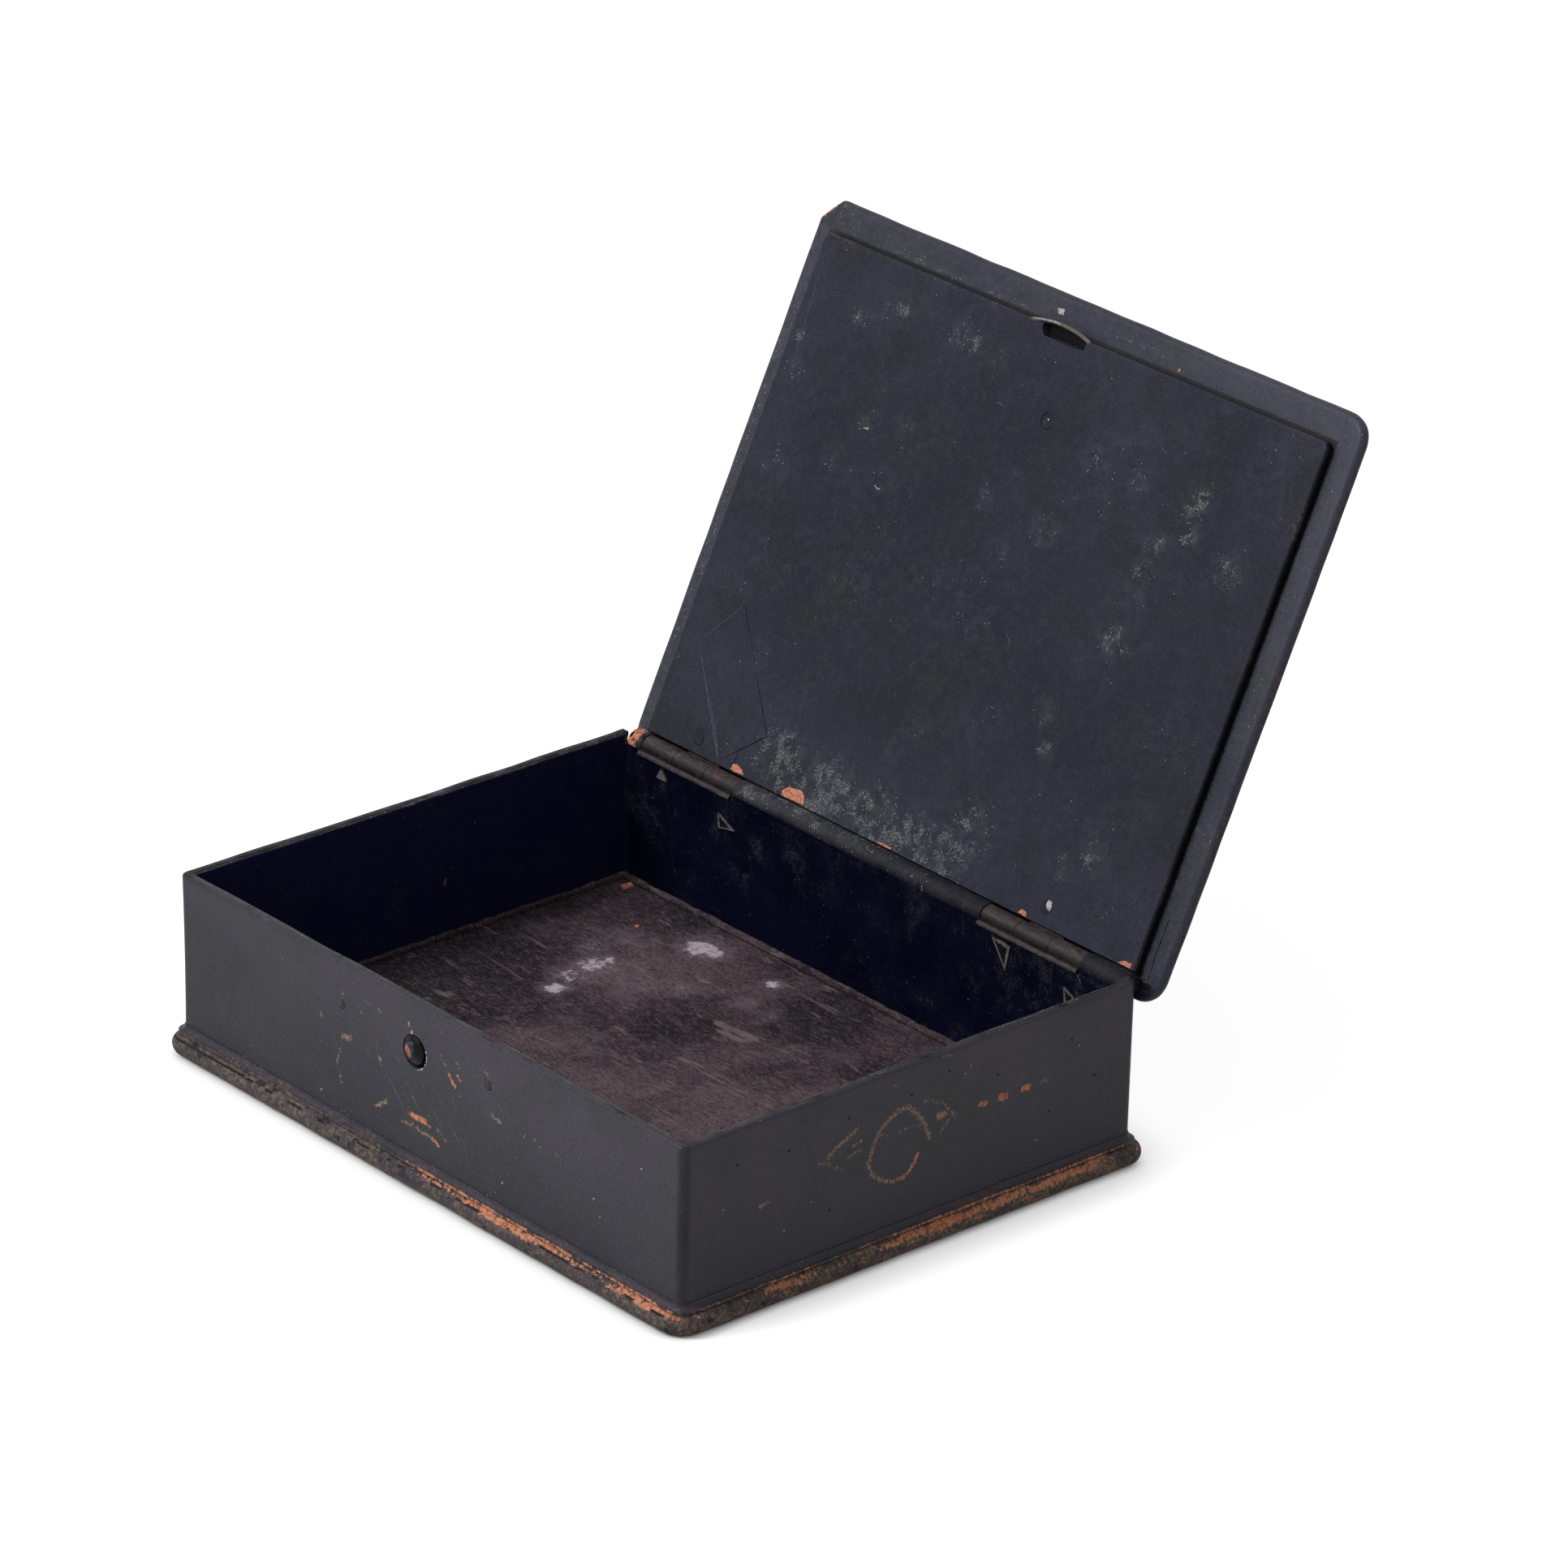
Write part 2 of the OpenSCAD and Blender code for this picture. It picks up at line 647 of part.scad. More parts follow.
base_board();
plinth_board();
wall_frame();
floor_lining();
rear_lining();
rear_rail_left();
rear_rail_middle();
rear_rail_right();
left_hinge_case_leaf();
left_hinge_lid_leaf();
left_hinge_pin();
right_hinge_case_leaf();
right_hinge_lid_leaf();
right_hinge_pin();
lid_leaf_rivets();
lid_board();
lid_panel();
keeper_bar();
push_button();
catch_hook();
leaf_spring();
spring_pins();
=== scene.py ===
import math
import bmesh
import bpy
import numpy as np
from mathutils import Matrix, Vector


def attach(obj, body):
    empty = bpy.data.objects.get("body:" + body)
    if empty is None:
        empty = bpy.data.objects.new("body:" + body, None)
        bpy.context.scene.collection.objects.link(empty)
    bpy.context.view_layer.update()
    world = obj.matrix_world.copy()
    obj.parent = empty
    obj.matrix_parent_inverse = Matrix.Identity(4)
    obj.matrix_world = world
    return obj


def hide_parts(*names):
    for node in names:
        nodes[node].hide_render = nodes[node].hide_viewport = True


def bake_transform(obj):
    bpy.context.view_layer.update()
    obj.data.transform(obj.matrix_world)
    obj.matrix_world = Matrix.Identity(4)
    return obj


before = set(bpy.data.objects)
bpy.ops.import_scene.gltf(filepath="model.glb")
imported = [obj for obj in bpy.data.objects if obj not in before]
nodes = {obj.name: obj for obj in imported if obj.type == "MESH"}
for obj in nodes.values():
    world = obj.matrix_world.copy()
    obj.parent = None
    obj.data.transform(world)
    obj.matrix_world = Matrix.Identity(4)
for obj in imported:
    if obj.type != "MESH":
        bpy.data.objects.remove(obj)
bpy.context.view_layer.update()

# Sizes in millimetres, as in the part's source, but the lid 0.02 narrower, to stay inside its solid
MM = 0.001
BODY_W = 144.0
BODY_D = 108.6
WALL_T = 2.2
CORNER_R = 1.6
RIM_EASE = 0.7
BASE_T = 4.3
BASE_REACH = 2.7
PLINTH_TOP = 6.1
RIM_Z = 37.1
HALF_W = BODY_W / 2
HALF_D = BODY_D / 2
IN_W = BODY_W - 2 * WALL_T
IN_D = BODY_D - 2 * WALL_T
FRONT = -HALF_D
REAR_IN = IN_D / 2
AXIS_Y = REAR_IN + 2.5
AXIS_Z = 34.8
RAIL_R = 2.5
HOLLOW_R = 2.7
HOLLOW_END = 72.3
LID_Z = 37.2
LID_T = 2.5
LID_MIDDLE = (0.4, -0.15)
LID_W = 148.58
LID_D = 114.3
PANEL_Z = 35.2
PANEL_FRONT = -50.7
PANEL_REAR = AXIS_Y - math.sqrt(HOLLOW_R ** 2 - (LID_Z - AXIS_Z) ** 2)
PANEL_W = 137.4
LINING_FACE = REAR_IN - 0.54
PRONG_FACE = REAR_IN - 0.93
BUTTON = (-2.6, 26.9)
BUTTON_R = 3.3

# How far the lid stands open, and the bend from which an edge looks sharp
OPEN = math.radians(115)
SHARP = math.radians(32)


# Shape tools

def opened(points):
    """Turns points of the lid, given as closed, to where the lid stands open."""
    y = points[:, 1] - AXIS_Y
    z = points[:, 2] - AXIS_Z
    turned = points.copy()
    turned[:, 1] = y * math.cos(OPEN) + z * math.sin(OPEN) + AXIS_Y
    turned[:, 2] = z * math.cos(OPEN) - y * math.sin(OPEN) + AXIS_Z
    return turned


def ripple(points, size, seed, waves=14):
    """Smooth random values, mostly from -1 to 1, with swells about size millimetres across."""
    rng = np.random.default_rng(seed)
    total = np.zeros(len(points))
    for _ in range(waves):
        way = rng.normal(size=3)
        way *= 2 * math.pi / size * rng.uniform(0.6, 1.5) / np.linalg.norm(way)
        total += np.sin(points @ way + rng.uniform(0, 2 * math.pi))
    return total / math.sqrt(waves)


def ease(value, low, high):
    """0 at low and 1 at high, with a soft turn at both."""
    t = np.clip((value - low) / (high - low), 0, 1)
    return t * t * (3 - 2 * t)


def new_object(name, data):
    obj = bpy.data.objects.new(name, data)
    bpy.context.scene.collection.objects.link(obj)
    return obj


def mesh_object(name, points, faces):
    mesh = bpy.data.meshes.new(name)
    mesh.from_pydata((np.asarray(points) * MM).tolist(), [], [list(face) for face in faces])
    work = bmesh.new()
    work.from_mesh(mesh)
    bmesh.ops.remove_doubles(work, verts=work.verts, dist=0.005 * MM)
    bmesh.ops.recalc_face_normals(work, faces=work.faces)
    work.to_mesh(mesh)
    work.free()
    return new_object(name, mesh)


def places(mesh):
    """The mesh's points in millimetres."""
    flat = np.empty(len(mesh.vertices) * 3, np.float32)
    mesh.vertices.foreach_get("co", flat)
    return flat.reshape(-1, 3).astype(float) / MM


def place(mesh, points):
    mesh.vertices.foreach_set("co", (points * MM).astype(np.float32).ravel())
    mesh.update()


def ring_faces(count, rings, first=0, closed=False):
    """Faces between rings of count points each; closed joins the last ring to the first."""
    i = np.arange(count)
    j = (i + 1) % count
    faces = []
    for k in range(rings if closed else rings - 1):
        a = first + k * count
        b = first + (k + 1) % rings * count
        faces += np.column_stack([a + i, a + j, b + j, b + i]).tolist()
    return faces


def sweep(name, w, d, r, profile, steps, closed=False, least=0.5, corner_steps=6, middle=(0, 0)):
    """Sweeps a profile of (inset, height) round a rounded rectangle. steps: points on the right, rear, left
    and front sides. An open profile starts and ends at the board's middle line."""
    corners = np.array([(1, -1), (1, 1), (-1, 1), (-1, -1)], float)
    at = []
    way = []
    for side in range(4):
        start = corners[side]
        end = corners[(side + 1) % 4]
        for t in np.linspace(0, 1, steps[side] + 1)[:-1]:
            at.append(start + (end - start) * t)
            way.append((math.cos(math.pi / 2 * side), math.sin(math.pi / 2 * side)))
        for t in np.linspace(0, 1, corner_steps + 1)[:-1]:
            at.append(end)
            way.append((math.cos(math.pi / 2 * (side + t)), math.sin(math.pi / 2 * (side + t))))
    at = np.array(at)
    way = np.array(way)
    rings = []
    for inset, z in profile:
        rad = min(max(r - inset, least), d / 2 - inset)
        half = np.array([w / 2 - inset - rad, d / 2 - inset - rad])
        rings.append(np.column_stack([at * half + way * rad + middle, np.full(len(at), z)]))
    return mesh_object(name, np.concatenate(rings), ring_faces(len(at), len(profile), closed=closed))


def arc(cx, cz, r, a0, a1, count):
    """Points on an arc, given by angles in degrees."""
    return [(cx + r * math.cos(math.radians(a)), cz + r * math.sin(math.radians(a)))
            for a in np.linspace(a0, a1, count)]


def run(a, b, step):
    """Values from a towards b, about step apart, both ends included."""
    return np.linspace(a, b, max(2, round(abs(b - a) / step) + 1))


def lifted(section, level, axis):
    """Points of a plane across an axis, given in the plane's two coordinates."""
    return np.insert(np.asarray(section, float), "xyz".index(axis), level, axis=1)


def prism(section, low, high, axis):
    """A cutter: a section drawn out along an axis."""
    n = len(section)
    faces = [list(range(n)), list(range(n, 2 * n)), *ring_faces(n, 2)]
    return mesh_object("cutter", np.vstack([lifted(section, low, axis), lifted(section, high, axis)]), faces)


def carve(obj, cutters):
    for cutter in cutters:
        cut = obj.modifiers.new("cut", "BOOLEAN")
        cut.operation = "DIFFERENCE"
        cut.solver = "EXACT"
        cut.object = cutter
    mesh = bpy.data.meshes.new_from_object(obj.evaluated_get(bpy.context.evaluated_depsgraph_get()))
    obj.modifiers.clear()
    obj.data = mesh
    for cutter in cutters:
        bpy.data.objects.remove(cutter)


def complete(obj, body, materials, replaced=(), paint=None, choose=None):
    """Paints the masks on a piece, opens it if it is on the lid, and sets its finish and its body."""
    mesh = obj.data
    points = places(mesh)
    if paint:
        for name, values in paint(points).items():
            layer = mesh.attributes.new(name, "FLOAT", "POINT")
            layer.data.foreach_set("value", np.clip(values, 0, 1).astype(np.float32))
    mesh.materials.clear()
    for material in materials:
        mesh.materials.append(material)
    if choose:
        centres = np.empty(len(mesh.polygons) * 3, np.float32)
        mesh.polygons.foreach_get("center", centres)
        mesh.polygons.foreach_set("material_index", choose(centres.reshape(-1, 3) / MM).astype(np.int32))
    if body == "lid":
        place(mesh, opened(points))
    mesh.shade_smooth()
    mesh.set_sharp_from_angle(angle=SHARP)
    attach(obj, body)
    if replaced:
        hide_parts(*replaced)


def line_distance(flat, line):
    """Distance from each point of a plane to a line through the given places."""
    best = np.full(len(flat), 1e9)
    for a, b in zip(line[:-1], line[1:]):
        a = np.array(a, float)
        span = np.array(b, float) - a
        t = np.clip((flat - a) @ span / max(span @ span, 1e-9), 0, 1)
        best = np.minimum(best, np.linalg.norm(flat - a - t[:, None] * span, axis=1))
    return best


def strokes(flat, rows, soft):
    """Mask of strokes, each given as half width, strength and places, with edges soft millimetres wide.
    A full stroke has 0.57 at its edge."""
    value = np.zeros(len(flat))
    for width, strength, line in rows:
        near = 0.57 - (1 - strength) * 0.45 + (width - line_distance(flat, line)) / soft
        value = np.maximum(value, np.clip(near, 0, 1))
    return value


def spots(flat, rows):
    """Mask of soft spots, each given as x, y, radius and strength."""
    value = np.zeros(len(flat))
    for x, y, r, strength in rows:
        away = np.hypot(flat[:, 0] - x, flat[:, 1] - y)
        value = np.maximum(value, strength * ease(r - away, 0, r))
    return value


def threads(name, body, material, rows, lift=0.03):
    """Hairlines, threads and thin smears on faces, also painted highlight and shade lines. Rows: the axis
    across the face, its level, the side that the face looks to, half width, and places."""
    points = []
    faces = []
    for axis, level, side, width, line in rows:
        line = np.array(line, float)
        steps = [line[0]]
        for a, b in zip(line[:-1], line[1:]):
            steps += [a + (b - a) * t for t in run(0, 1, 0.5 / max(np.linalg.norm(b - a), 0.5))[1:]]
        line = np.array(steps)
        ways = np.gradient(line, axis=0)
        ways /= np.maximum(np.linalg.norm(ways, axis=1), 1e-9)[:, None]
        ends = np.minimum(np.arange(len(line)), np.arange(len(line))[::-1])
        taper = np.minimum(1, 0.25 + 0.5 * ends) if len(line) > 3 else 1.0
        half = width * taper * (1 + 0.3 * ripple(lifted(line, level, axis), 1.3, 5))
        across = np.column_stack([-ways[:, 1], ways[:, 0]]) * half[:, None]
        first = len(points)
        ring = [lifted(line + across, level, axis), lifted(line, level + side * lift, axis),
                lifted(line - across, level, axis), lifted(line, level - side * lift, axis)]
        for k in range(len(line)):
            points += [corner[k] for corner in ring]
        faces += ring_faces(4, len(line), first)
        faces += [[first + c for c in range(4)], [len(points) - 4 + c for c in range(4)]]
    complete(mesh_object(name, points, faces), body, [material])


def flakes(name, body, material, rows, lift=0.06, seed=1):
    """Thin flakes and chips on faces, and thin dark sheets, some of them painted shade, with rough outlines.
    Rows as for threads, without a width.
    """
    rng = np.random.default_rng(seed)
    points = []
    faces = []
    for axis, level, side, outline in rows:
        outline = np.array(outline, float)
        middle = outline.mean(axis=0)
        edge = []
        for a, b in zip(outline, np.roll(outline, -1, axis=0)):
            for t in run(0, 1, 0.25 / max(np.linalg.norm(b - a), 0.25))[:-1]:
                edge.append(a + (b - a) * t + rng.normal(size=2) * 0.05)
        edge = np.array(edge)
        n = len(edge)
        first = len(points)
        rings = [(1.0, -0.05), (1.0, 0.3 * lift), (0.86, lift), (0.5, lift * 0.7)]
        for scale, height in rings:
            flat = middle + (edge - middle) * scale
            points += list(lifted(flat, level + side * height, axis))
        points += list(lifted([middle], level + side * lift * 0.8, axis))
        faces += ring_faces(n, len(rings), first)
        faces += [[first + 3 * n + i, first + 3 * n + (i + 1) % n, len(points) - 1] for i in range(n)]
        faces.append([first + i for i in range(n)])
    complete(mesh_object(name, points, faces), body, [material])


# Finishes

def put(socket, value):
    """Links a socket, or sets a number, a colour or a vector."""
    if isinstance(value, bpy.types.NodeSocket):
        socket.id_data.links.new(value, socket)
    elif socket.type == "RGBA":
        socket.default_value = (*value, 1)
    else:
        socket.default_value = value


def wire(tree, kind, values, output=0, **settings):
    """Adds a node with these settings and inputs, and gives one of its outputs."""
    node = tree.nodes.new(kind)
    for name, value in settings.items():
        setattr(node, name, value)
    for socket, value in values.items():
        put(node.inputs[socket], value)
    return node.outputs[output]


class Finish:
    """A procedural material, with short calls for the nodes that the finishes share."""

    def __init__(self, name):
        self.material = bpy.data.materials.new(name)
        self.material.use_nodes = True
        self.place = self.wire("ShaderNodeTexCoord", {}, "Object")
        self.colour = None
        self.normal = None

    def wire(self, kind, values, output=0, **settings):
        return wire(self.material.node_tree, kind, values, output, **settings)

    def stretched(self, x, y, z):
        return self.wire("ShaderNodeMapping", {"Vector": self.place, "Scale": (x, y, z)})

    def noise(self, size, detail=2.0, rough=0.5, at=None, distortion=0.0):
        """Noise whose swells are about size millimetres across."""
        return self.wire("ShaderNodeTexNoise", {"Vector": at or self.place, "Scale": 1 / (size * MM),
                                                "Detail": detail, "Roughness": rough,
                                                "Distortion": distortion}, "Fac")

    def coordinate(self, axis):
        """One coordinate of the surface, in metres."""
        return self.wire("ShaderNodeSeparateXYZ", {0: self.place}, axis)

    def mask(self, name):
        return self.wire("ShaderNodeAttribute", {}, "Fac", attribute_name=name)

    def calc(self, kind, a, b, clamp=False):
        return self.wire("ShaderNodeMath", {0: a, 1: b}, operation=kind, use_clamp=clamp)

    def times(self, a, b):
        return self.calc("MULTIPLY", a, b)

    def plus(self, a, b, clamp=False):
        return self.calc("ADD", a, b, clamp)

    def larger(self, a, b):
        return self.calc("MAXIMUM", a, b)

    def swing(self, value, reach):
        """A value of 0 to 1, turned to swing about 0 by half of reach."""
        return self.times(self.calc("SUBTRACT", value, 0.5), reach)

    def ramp(self, value, low, high, to_low=0.0, to_high=1.0):
        """Soft step from to_low, where value is low, to to_high."""
        return self.wire("ShaderNodeMapRange", {"Value": value, "From Min": low, "From Max": high,
                                                "To Min": to_low, "To Max": to_high},
                         "Result", interpolation_type="SMOOTHSTEP")

    def mix(self, amount, a, b):
        return self.wire("ShaderNodeMix", {0: amount, 6: a, 7: b}, 2, data_type="RGBA")

    def specks(self, size, reach, share):
        """Small round specks in cells of a size; share is how many of the cells hold one."""
        cells = {"Vector": self.place, "Scale": 1 / (size * MM)}
        distance = self.wire("ShaderNodeTexVoronoi", cells, "Distance")
        chance = self.wire("ShaderNodeSeparateColor", {0: distance.node.outputs["Color"]})
        here = self.calc("GREATER_THAN", chance, self.calc("SUBTRACT", 1.0, share))
        return self.times(self.ramp(distance, reach, reach * 0.5), here)

    def powder(self, amount, size=0.32):
        """Fine powder: grains of noise that stand above a level which falls with the amount."""
        level = self.ramp(amount, 0.0, 0.9, 0.76, 0.44)
        return self.ramp(self.calc("SUBTRACT", self.noise(size, 2, 0.7), level), 0.0, 0.1)

    def ragged(self, name, size=0.5, spread=0.9, low=0.5, high=0.62):
        """A mask with its edge broken up by fine noise."""
        return self.ramp(self.plus(self.mask(name), self.swing(self.noise(size, 4, 0.7), spread)), low, high)

    def coat(self, amount, tone, share=None):
        """Lays a tone over the colour so far, by the amount, or by a share of it."""
        if share is not None:
            amount = self.times(amount, share)
        self.colour = self.mix(amount, self.colour, tone)

    def emboss(self, height, depth):
        """Adds relief whose height value of 1 stands depth millimetres high."""
        values = {"Distance": depth * MM, "Height": height}
        if self.normal:
            values["Normal"] = self.normal
        self.normal = self.wire("ShaderNodeBump", values)

    def done(self, rough, specular, metallic=0.0):
        shader = self.material.node_tree.nodes["Principled BSDF"]
        for name, value in (("Base Color", self.colour), ("Roughness", rough), ("Normal", self.normal),
                            ("Specular IOR Level", specular), ("Metallic", metallic)):
            put(shader.inputs[name], value)
        return self.material


def lacquer(name, dark, light, olive, specular=0.16, gloss=0.42, moulding=False):
    """Old black lacquer over paper board. Masks: fade_and_painted_light, paler lacquer, also painted light
    and shade; wear, worn through to the board;
    tan, the same but paler; rub_and_highlight, rubbed edges and painted highlights; dust, specks and powder;
    grime, mottled dirt; dirt_and_shade, black seams and painted shade."""
    f = Finish(name)
    mottle = f.noise(1.6, 5, 0.65)
    fine = f.noise(0.4, 3, 0.7)
    fade_and_painted_light = f.plus(f.mask("fade_and_painted_light"), f.swing(f.noise(26, 3), 0.7))
    f.colour = f.mix(f.ramp(fade_and_painted_light, 0.0, 1.0), dark, light)
    f.coat(f.ramp(f.noise(15, 4, 0.6), 0.44, 0.64, 0, 0.75), olive)
    f.coat(f.ramp(mottle, 0.5, 0.8, 0, 0.45), tuple(1.6 * c for c in light))
    f.coat(f.ramp(fine, 0.32, 0.56, 0.5, 0), tuple(0.3 * c for c in dark))
    f.coat(f.ramp(fine, 0.54, 0.78, 0, 0.45), tuple(2.0 * c for c in light))
    dust = f.mask("dust")
    bloom = f.times(dust, f.ramp(f.noise(2.2, 5, 0.7), 0.38, 0.68))
    f.coat(bloom, (0.085, 0.088, 0.095), 0.4)
    patchy = f.times(dust, f.ramp(f.noise(2.8, 5, 0.75), 0.4, 0.58, 0.1, 1.0))
    f.coat(f.powder(patchy, 0.34), (0.19, 0.195, 0.195), 0.42)
    thick = f.ramp(patchy, 0.1, 0.95, 0.0, 0.6)
    f.coat(f.specks(0.46, 0.3, thick), (0.33, 0.33, 0.32), 0.85)
    scattered = f.ramp(f.noise(9, 4, 0.7), 0.44, 0.62, 0.02, 0.16)
    f.coat(f.specks(1.3, 0.075, scattered), (0.2, 0.195, 0.185), 0.5)
    if moulding:
        f.coat(f.specks(3.3, 0.12, 0.3), (0.008, 0.007, 0.009), 0.6)
    rub_and_highlight = f.ragged("rub_and_highlight", 1.1, 0.8, 0.35, 0.8)
    rubbed = f.mix(f.ramp(f.noise(0.7, 4, 0.7), 0.42, 0.62), (0.03, 0.02, 0.026), (0.085, 0.062, 0.068))
    f.coat(rub_and_highlight, rubbed, 0.85)
    grime = f.ragged("grime", 1.6, 1.1, 0.38, 0.75)
    soil = f.mix(f.ramp(f.noise(0.9, 5, 0.7), 0.42, 0.6), (0.046, 0.038, 0.037), (0.15, 0.115, 0.092))
    soil = f.mix(f.ramp(f.noise(4.5, 4, 0.6), 0.46, 0.6, 0, 0.7), soil, (0.05, 0.044, 0.05))
    soil = f.mix(f.ramp(f.noise(2.4, 4, 0.6), 0.57, 0.65), soil, (0.014, 0.011, 0.015))
    f.coat(grime, soil, 0.9)
    pale = f.ragged("tan", 0.6, 1.9, 0.52, 0.7)
    paler = f.mix(f.ramp(f.noise(0.5, 3, 0.6), 0.4, 0.6), (0.13, 0.09, 0.065), (0.34, 0.21, 0.125))
    f.coat(pale, paler, 0.85)
    worn = f.ragged("wear", 0.8, 1.6, 0.52, 0.68)
    board = f.mix(f.ramp(f.noise(0.8, 4, 0.7), 0.36, 0.62), (0.25, 0.07, 0.035), (0.56, 0.25, 0.145))
    board = f.mix(f.ramp(fine, 0.54, 0.68, 0, 0.5), board, (0.14, 0.055, 0.035))
    f.coat(worn, board)
    f.coat(f.ragged("dirt_and_shade", 0.5, 0.6, 0.42, 0.62), (0.003, 0.003, 0.004))
    dull = f.larger(f.larger(worn, grime), f.larger(rub_and_highlight, bloom))
    rough = f.plus(f.ramp(mottle, 0.3, 0.8, gloss - 0.05, gloss + 0.13), f.times(dull, 0.3), clamp=True)
    f.emboss(f.noise(7, 3), 0.1)
    f.emboss(mottle, 0.02)
    f.emboss(fine, 0.008)
    f.emboss(f.times(f.larger(worn, grime), -1.0), 0.04)
    if moulding:
        f.emboss(f.times(f.noise(2.2, 3, 0.6), grime), 0.16)
    return f.done(rough, specular)


def wall_paper(name):
    """The near-black navy paper inside the walls, with painted light on the left wall's inside. Masks:
    fade_and_painted_light, dust, rub_and_highlight, tan and dirt_and_shade.
    """
    f = Finish(name)
    mottle = f.noise(1.1, 5, 0.7)
    f.colour = f.mix(f.ramp(f.noise(18, 3), 0.35, 0.65), (0.0005, 0.0007, 0.0065), (0.0013, 0.0021, 0.0105))
    f.coat(f.mask("fade_and_painted_light"), (0.0095, 0.011, 0.045))
    f.coat(f.ramp(mottle, 0.48, 0.75, 0, 0.5), (0.006, 0.009, 0.02))
    dust = f.mask("dust")
    patchy = f.times(dust, f.ramp(f.noise(6, 5, 0.7), 0.38, 0.64, 0.1, 1.0))
    f.coat(patchy, (0.022, 0.024, 0.034), 0.16)
    f.coat(f.powder(f.plus(f.times(patchy, 0.7), 0.12)), (0.04, 0.043, 0.055), 0.5)
    f.coat(f.specks(1.0, 0.13, f.times(patchy, 0.6)), (0.16, 0.16, 0.17), 0.7)
    f.coat(f.specks(3.0, 0.05, 0.3), (0.25, 0.25, 0.26), 0.8)
    rub_and_highlight = f.ragged("rub_and_highlight", 1.1, 0.7, 0.35, 0.8)
    f.coat(rub_and_highlight, (0.03, 0.026, 0.032), 0.8)
    f.coat(f.ragged("tan", 0.5, 0.7), (0.2, 0.13, 0.08))
    f.coat(f.ragged("dirt_and_shade", 0.5, 0.5, 0.45, 0.6), (0.001, 0.001, 0.0015))
    f.emboss(f.noise(5, 3), 0.1)
    f.emboss(mottle, 0.03)
    return f.done(f.ramp(mottle, 0.3, 0.8, 0.6, 0.8), 0.03)


def floor_paper(name):
    """The rough lining of the floor. Masks: fade_and_painted_light, paler; dust, chalky smears;
    rub_and_highlight, bare paper; dirt_and_shade, darker; tan.
    """
    f = Finish(name)
    fibre = f.noise(0.7, 6, 0.85, f.stretched(0.6, 1.25, 1), 0.6)
    grain = f.noise(0.42, 3, 0.7)
    blotch = f.noise(7, 6, 0.7)
    streaks = f.noise(3.2, 5, 0.7, f.stretched(0.3, 1.6, 1), 0.8)
    fade_and_painted_light = f.plus(f.mask("fade_and_painted_light"), f.swing(blotch, 1.3))
    f.colour = f.mix(f.ramp(fade_and_painted_light, 0.1, 1.0), (0.014, 0.0105, 0.0145), (0.105, 0.07, 0.082))
    f.coat(f.ramp(streaks, 0.48, 0.72, 0, 0.4), (0.13, 0.1, 0.11))
    f.coat(f.ramp(fibre, 0.48, 0.68, 0, 0.6), (0.18, 0.138, 0.15))
    f.coat(f.ramp(fibre, 0.5, 0.38, 0, 0.75), (0.009, 0.007, 0.009))
    f.coat(f.ramp(grain, 0.5, 0.38, 0, 0.55), (0.012, 0.009, 0.012))
    bare = f.ramp(f.plus(f.mask("rub_and_highlight"), f.swing(streaks, 2.4)), 0.5, 0.85)
    f.coat(bare, (0.185, 0.14, 0.14), 0.6)
    dust = f.mask("dust")
    haze = f.times(dust, f.ramp(fibre, 0.3, 0.58))
    f.coat(haze, (0.2, 0.165, 0.185), 0.7)
    chalk = f.ramp(f.plus(dust, f.swing(f.noise(1.4, 6, 0.75), 1.9)), 0.6, 0.95)
    f.coat(chalk, (0.52, 0.43, 0.5), 0.8)
    f.coat(f.specks(1.9, 0.07, 0.3), (0.36, 0.3, 0.3), 0.75)
    f.coat(f.ragged("tan", 0.6, 0.9), (0.33, 0.13, 0.07))
    f.coat(f.ragged("dirt_and_shade", 0.8, 0.8, 0.4, 0.75), (0.006, 0.0045, 0.006))
    f.emboss(blotch, 0.12)
    f.emboss(fibre, 0.08)
    return f.done(f.ramp(fibre, 0.3, 0.7, 0.8, 0.95), 0.08)


def hinge_metal(name):
    """Blackened hinge metal, brown where it is worn, with painted shade where the knuckles meet the leaves.
    """
    f = Finish(name)
    mottle = f.noise(1.2, 5, 0.7)
    lengthwise = f.noise(0.7, 4, 0.65, f.stretched(0.14, 1, 1))
    f.colour = f.mix(f.ramp(mottle, 0.4, 0.66), (0.013, 0.009, 0.011), (0.042, 0.028, 0.029))
    f.coat(f.ramp(lengthwise, 0.54, 0.74, 0, 0.6), (0.115, 0.078, 0.078))
    f.coat(f.ramp(lengthwise, 0.42, 0.34, 0, 0.8), (0.006, 0.004, 0.006))
    f.coat(f.ramp(f.noise(3.4, 4), 0.6, 0.75, 0, 0.5), (0.1, 0.036, 0.026))
    # Painted shade: a dark band where the knuckles meet the leaves' shoulders.
    crease_shade_y = 0.0524
    crease_shade_top = 0.0364
    prong_top = 0.0333
    away = f.calc("ABSOLUTE", f.calc("SUBTRACT", f.coordinate("Y"), crease_shade_y), 0.0)
    crease_shade = f.times(f.ramp(away, 0.0008, 0.0003), f.ramp(f.coordinate("Z"), crease_shade_top, crease_shade_top - 0.0004))
    f.coat(crease_shade, (0.002, 0.0015, 0.002), 0.85)
    prong = f.mix(f.ramp(mottle, 0.35, 0.6), (0.06, 0.06, 0.064), (0.125, 0.12, 0.12))
    f.coat(f.ramp(f.coordinate("Z"), prong_top, prong_top - 0.0002), prong)
    f.emboss(mottle, 0.05)
    f.emboss(lengthwise, 0.03)
    return f.done(f.ramp(mottle, 0.3, 0.7, 0.45, 0.65), 0.25, metallic=0.1)


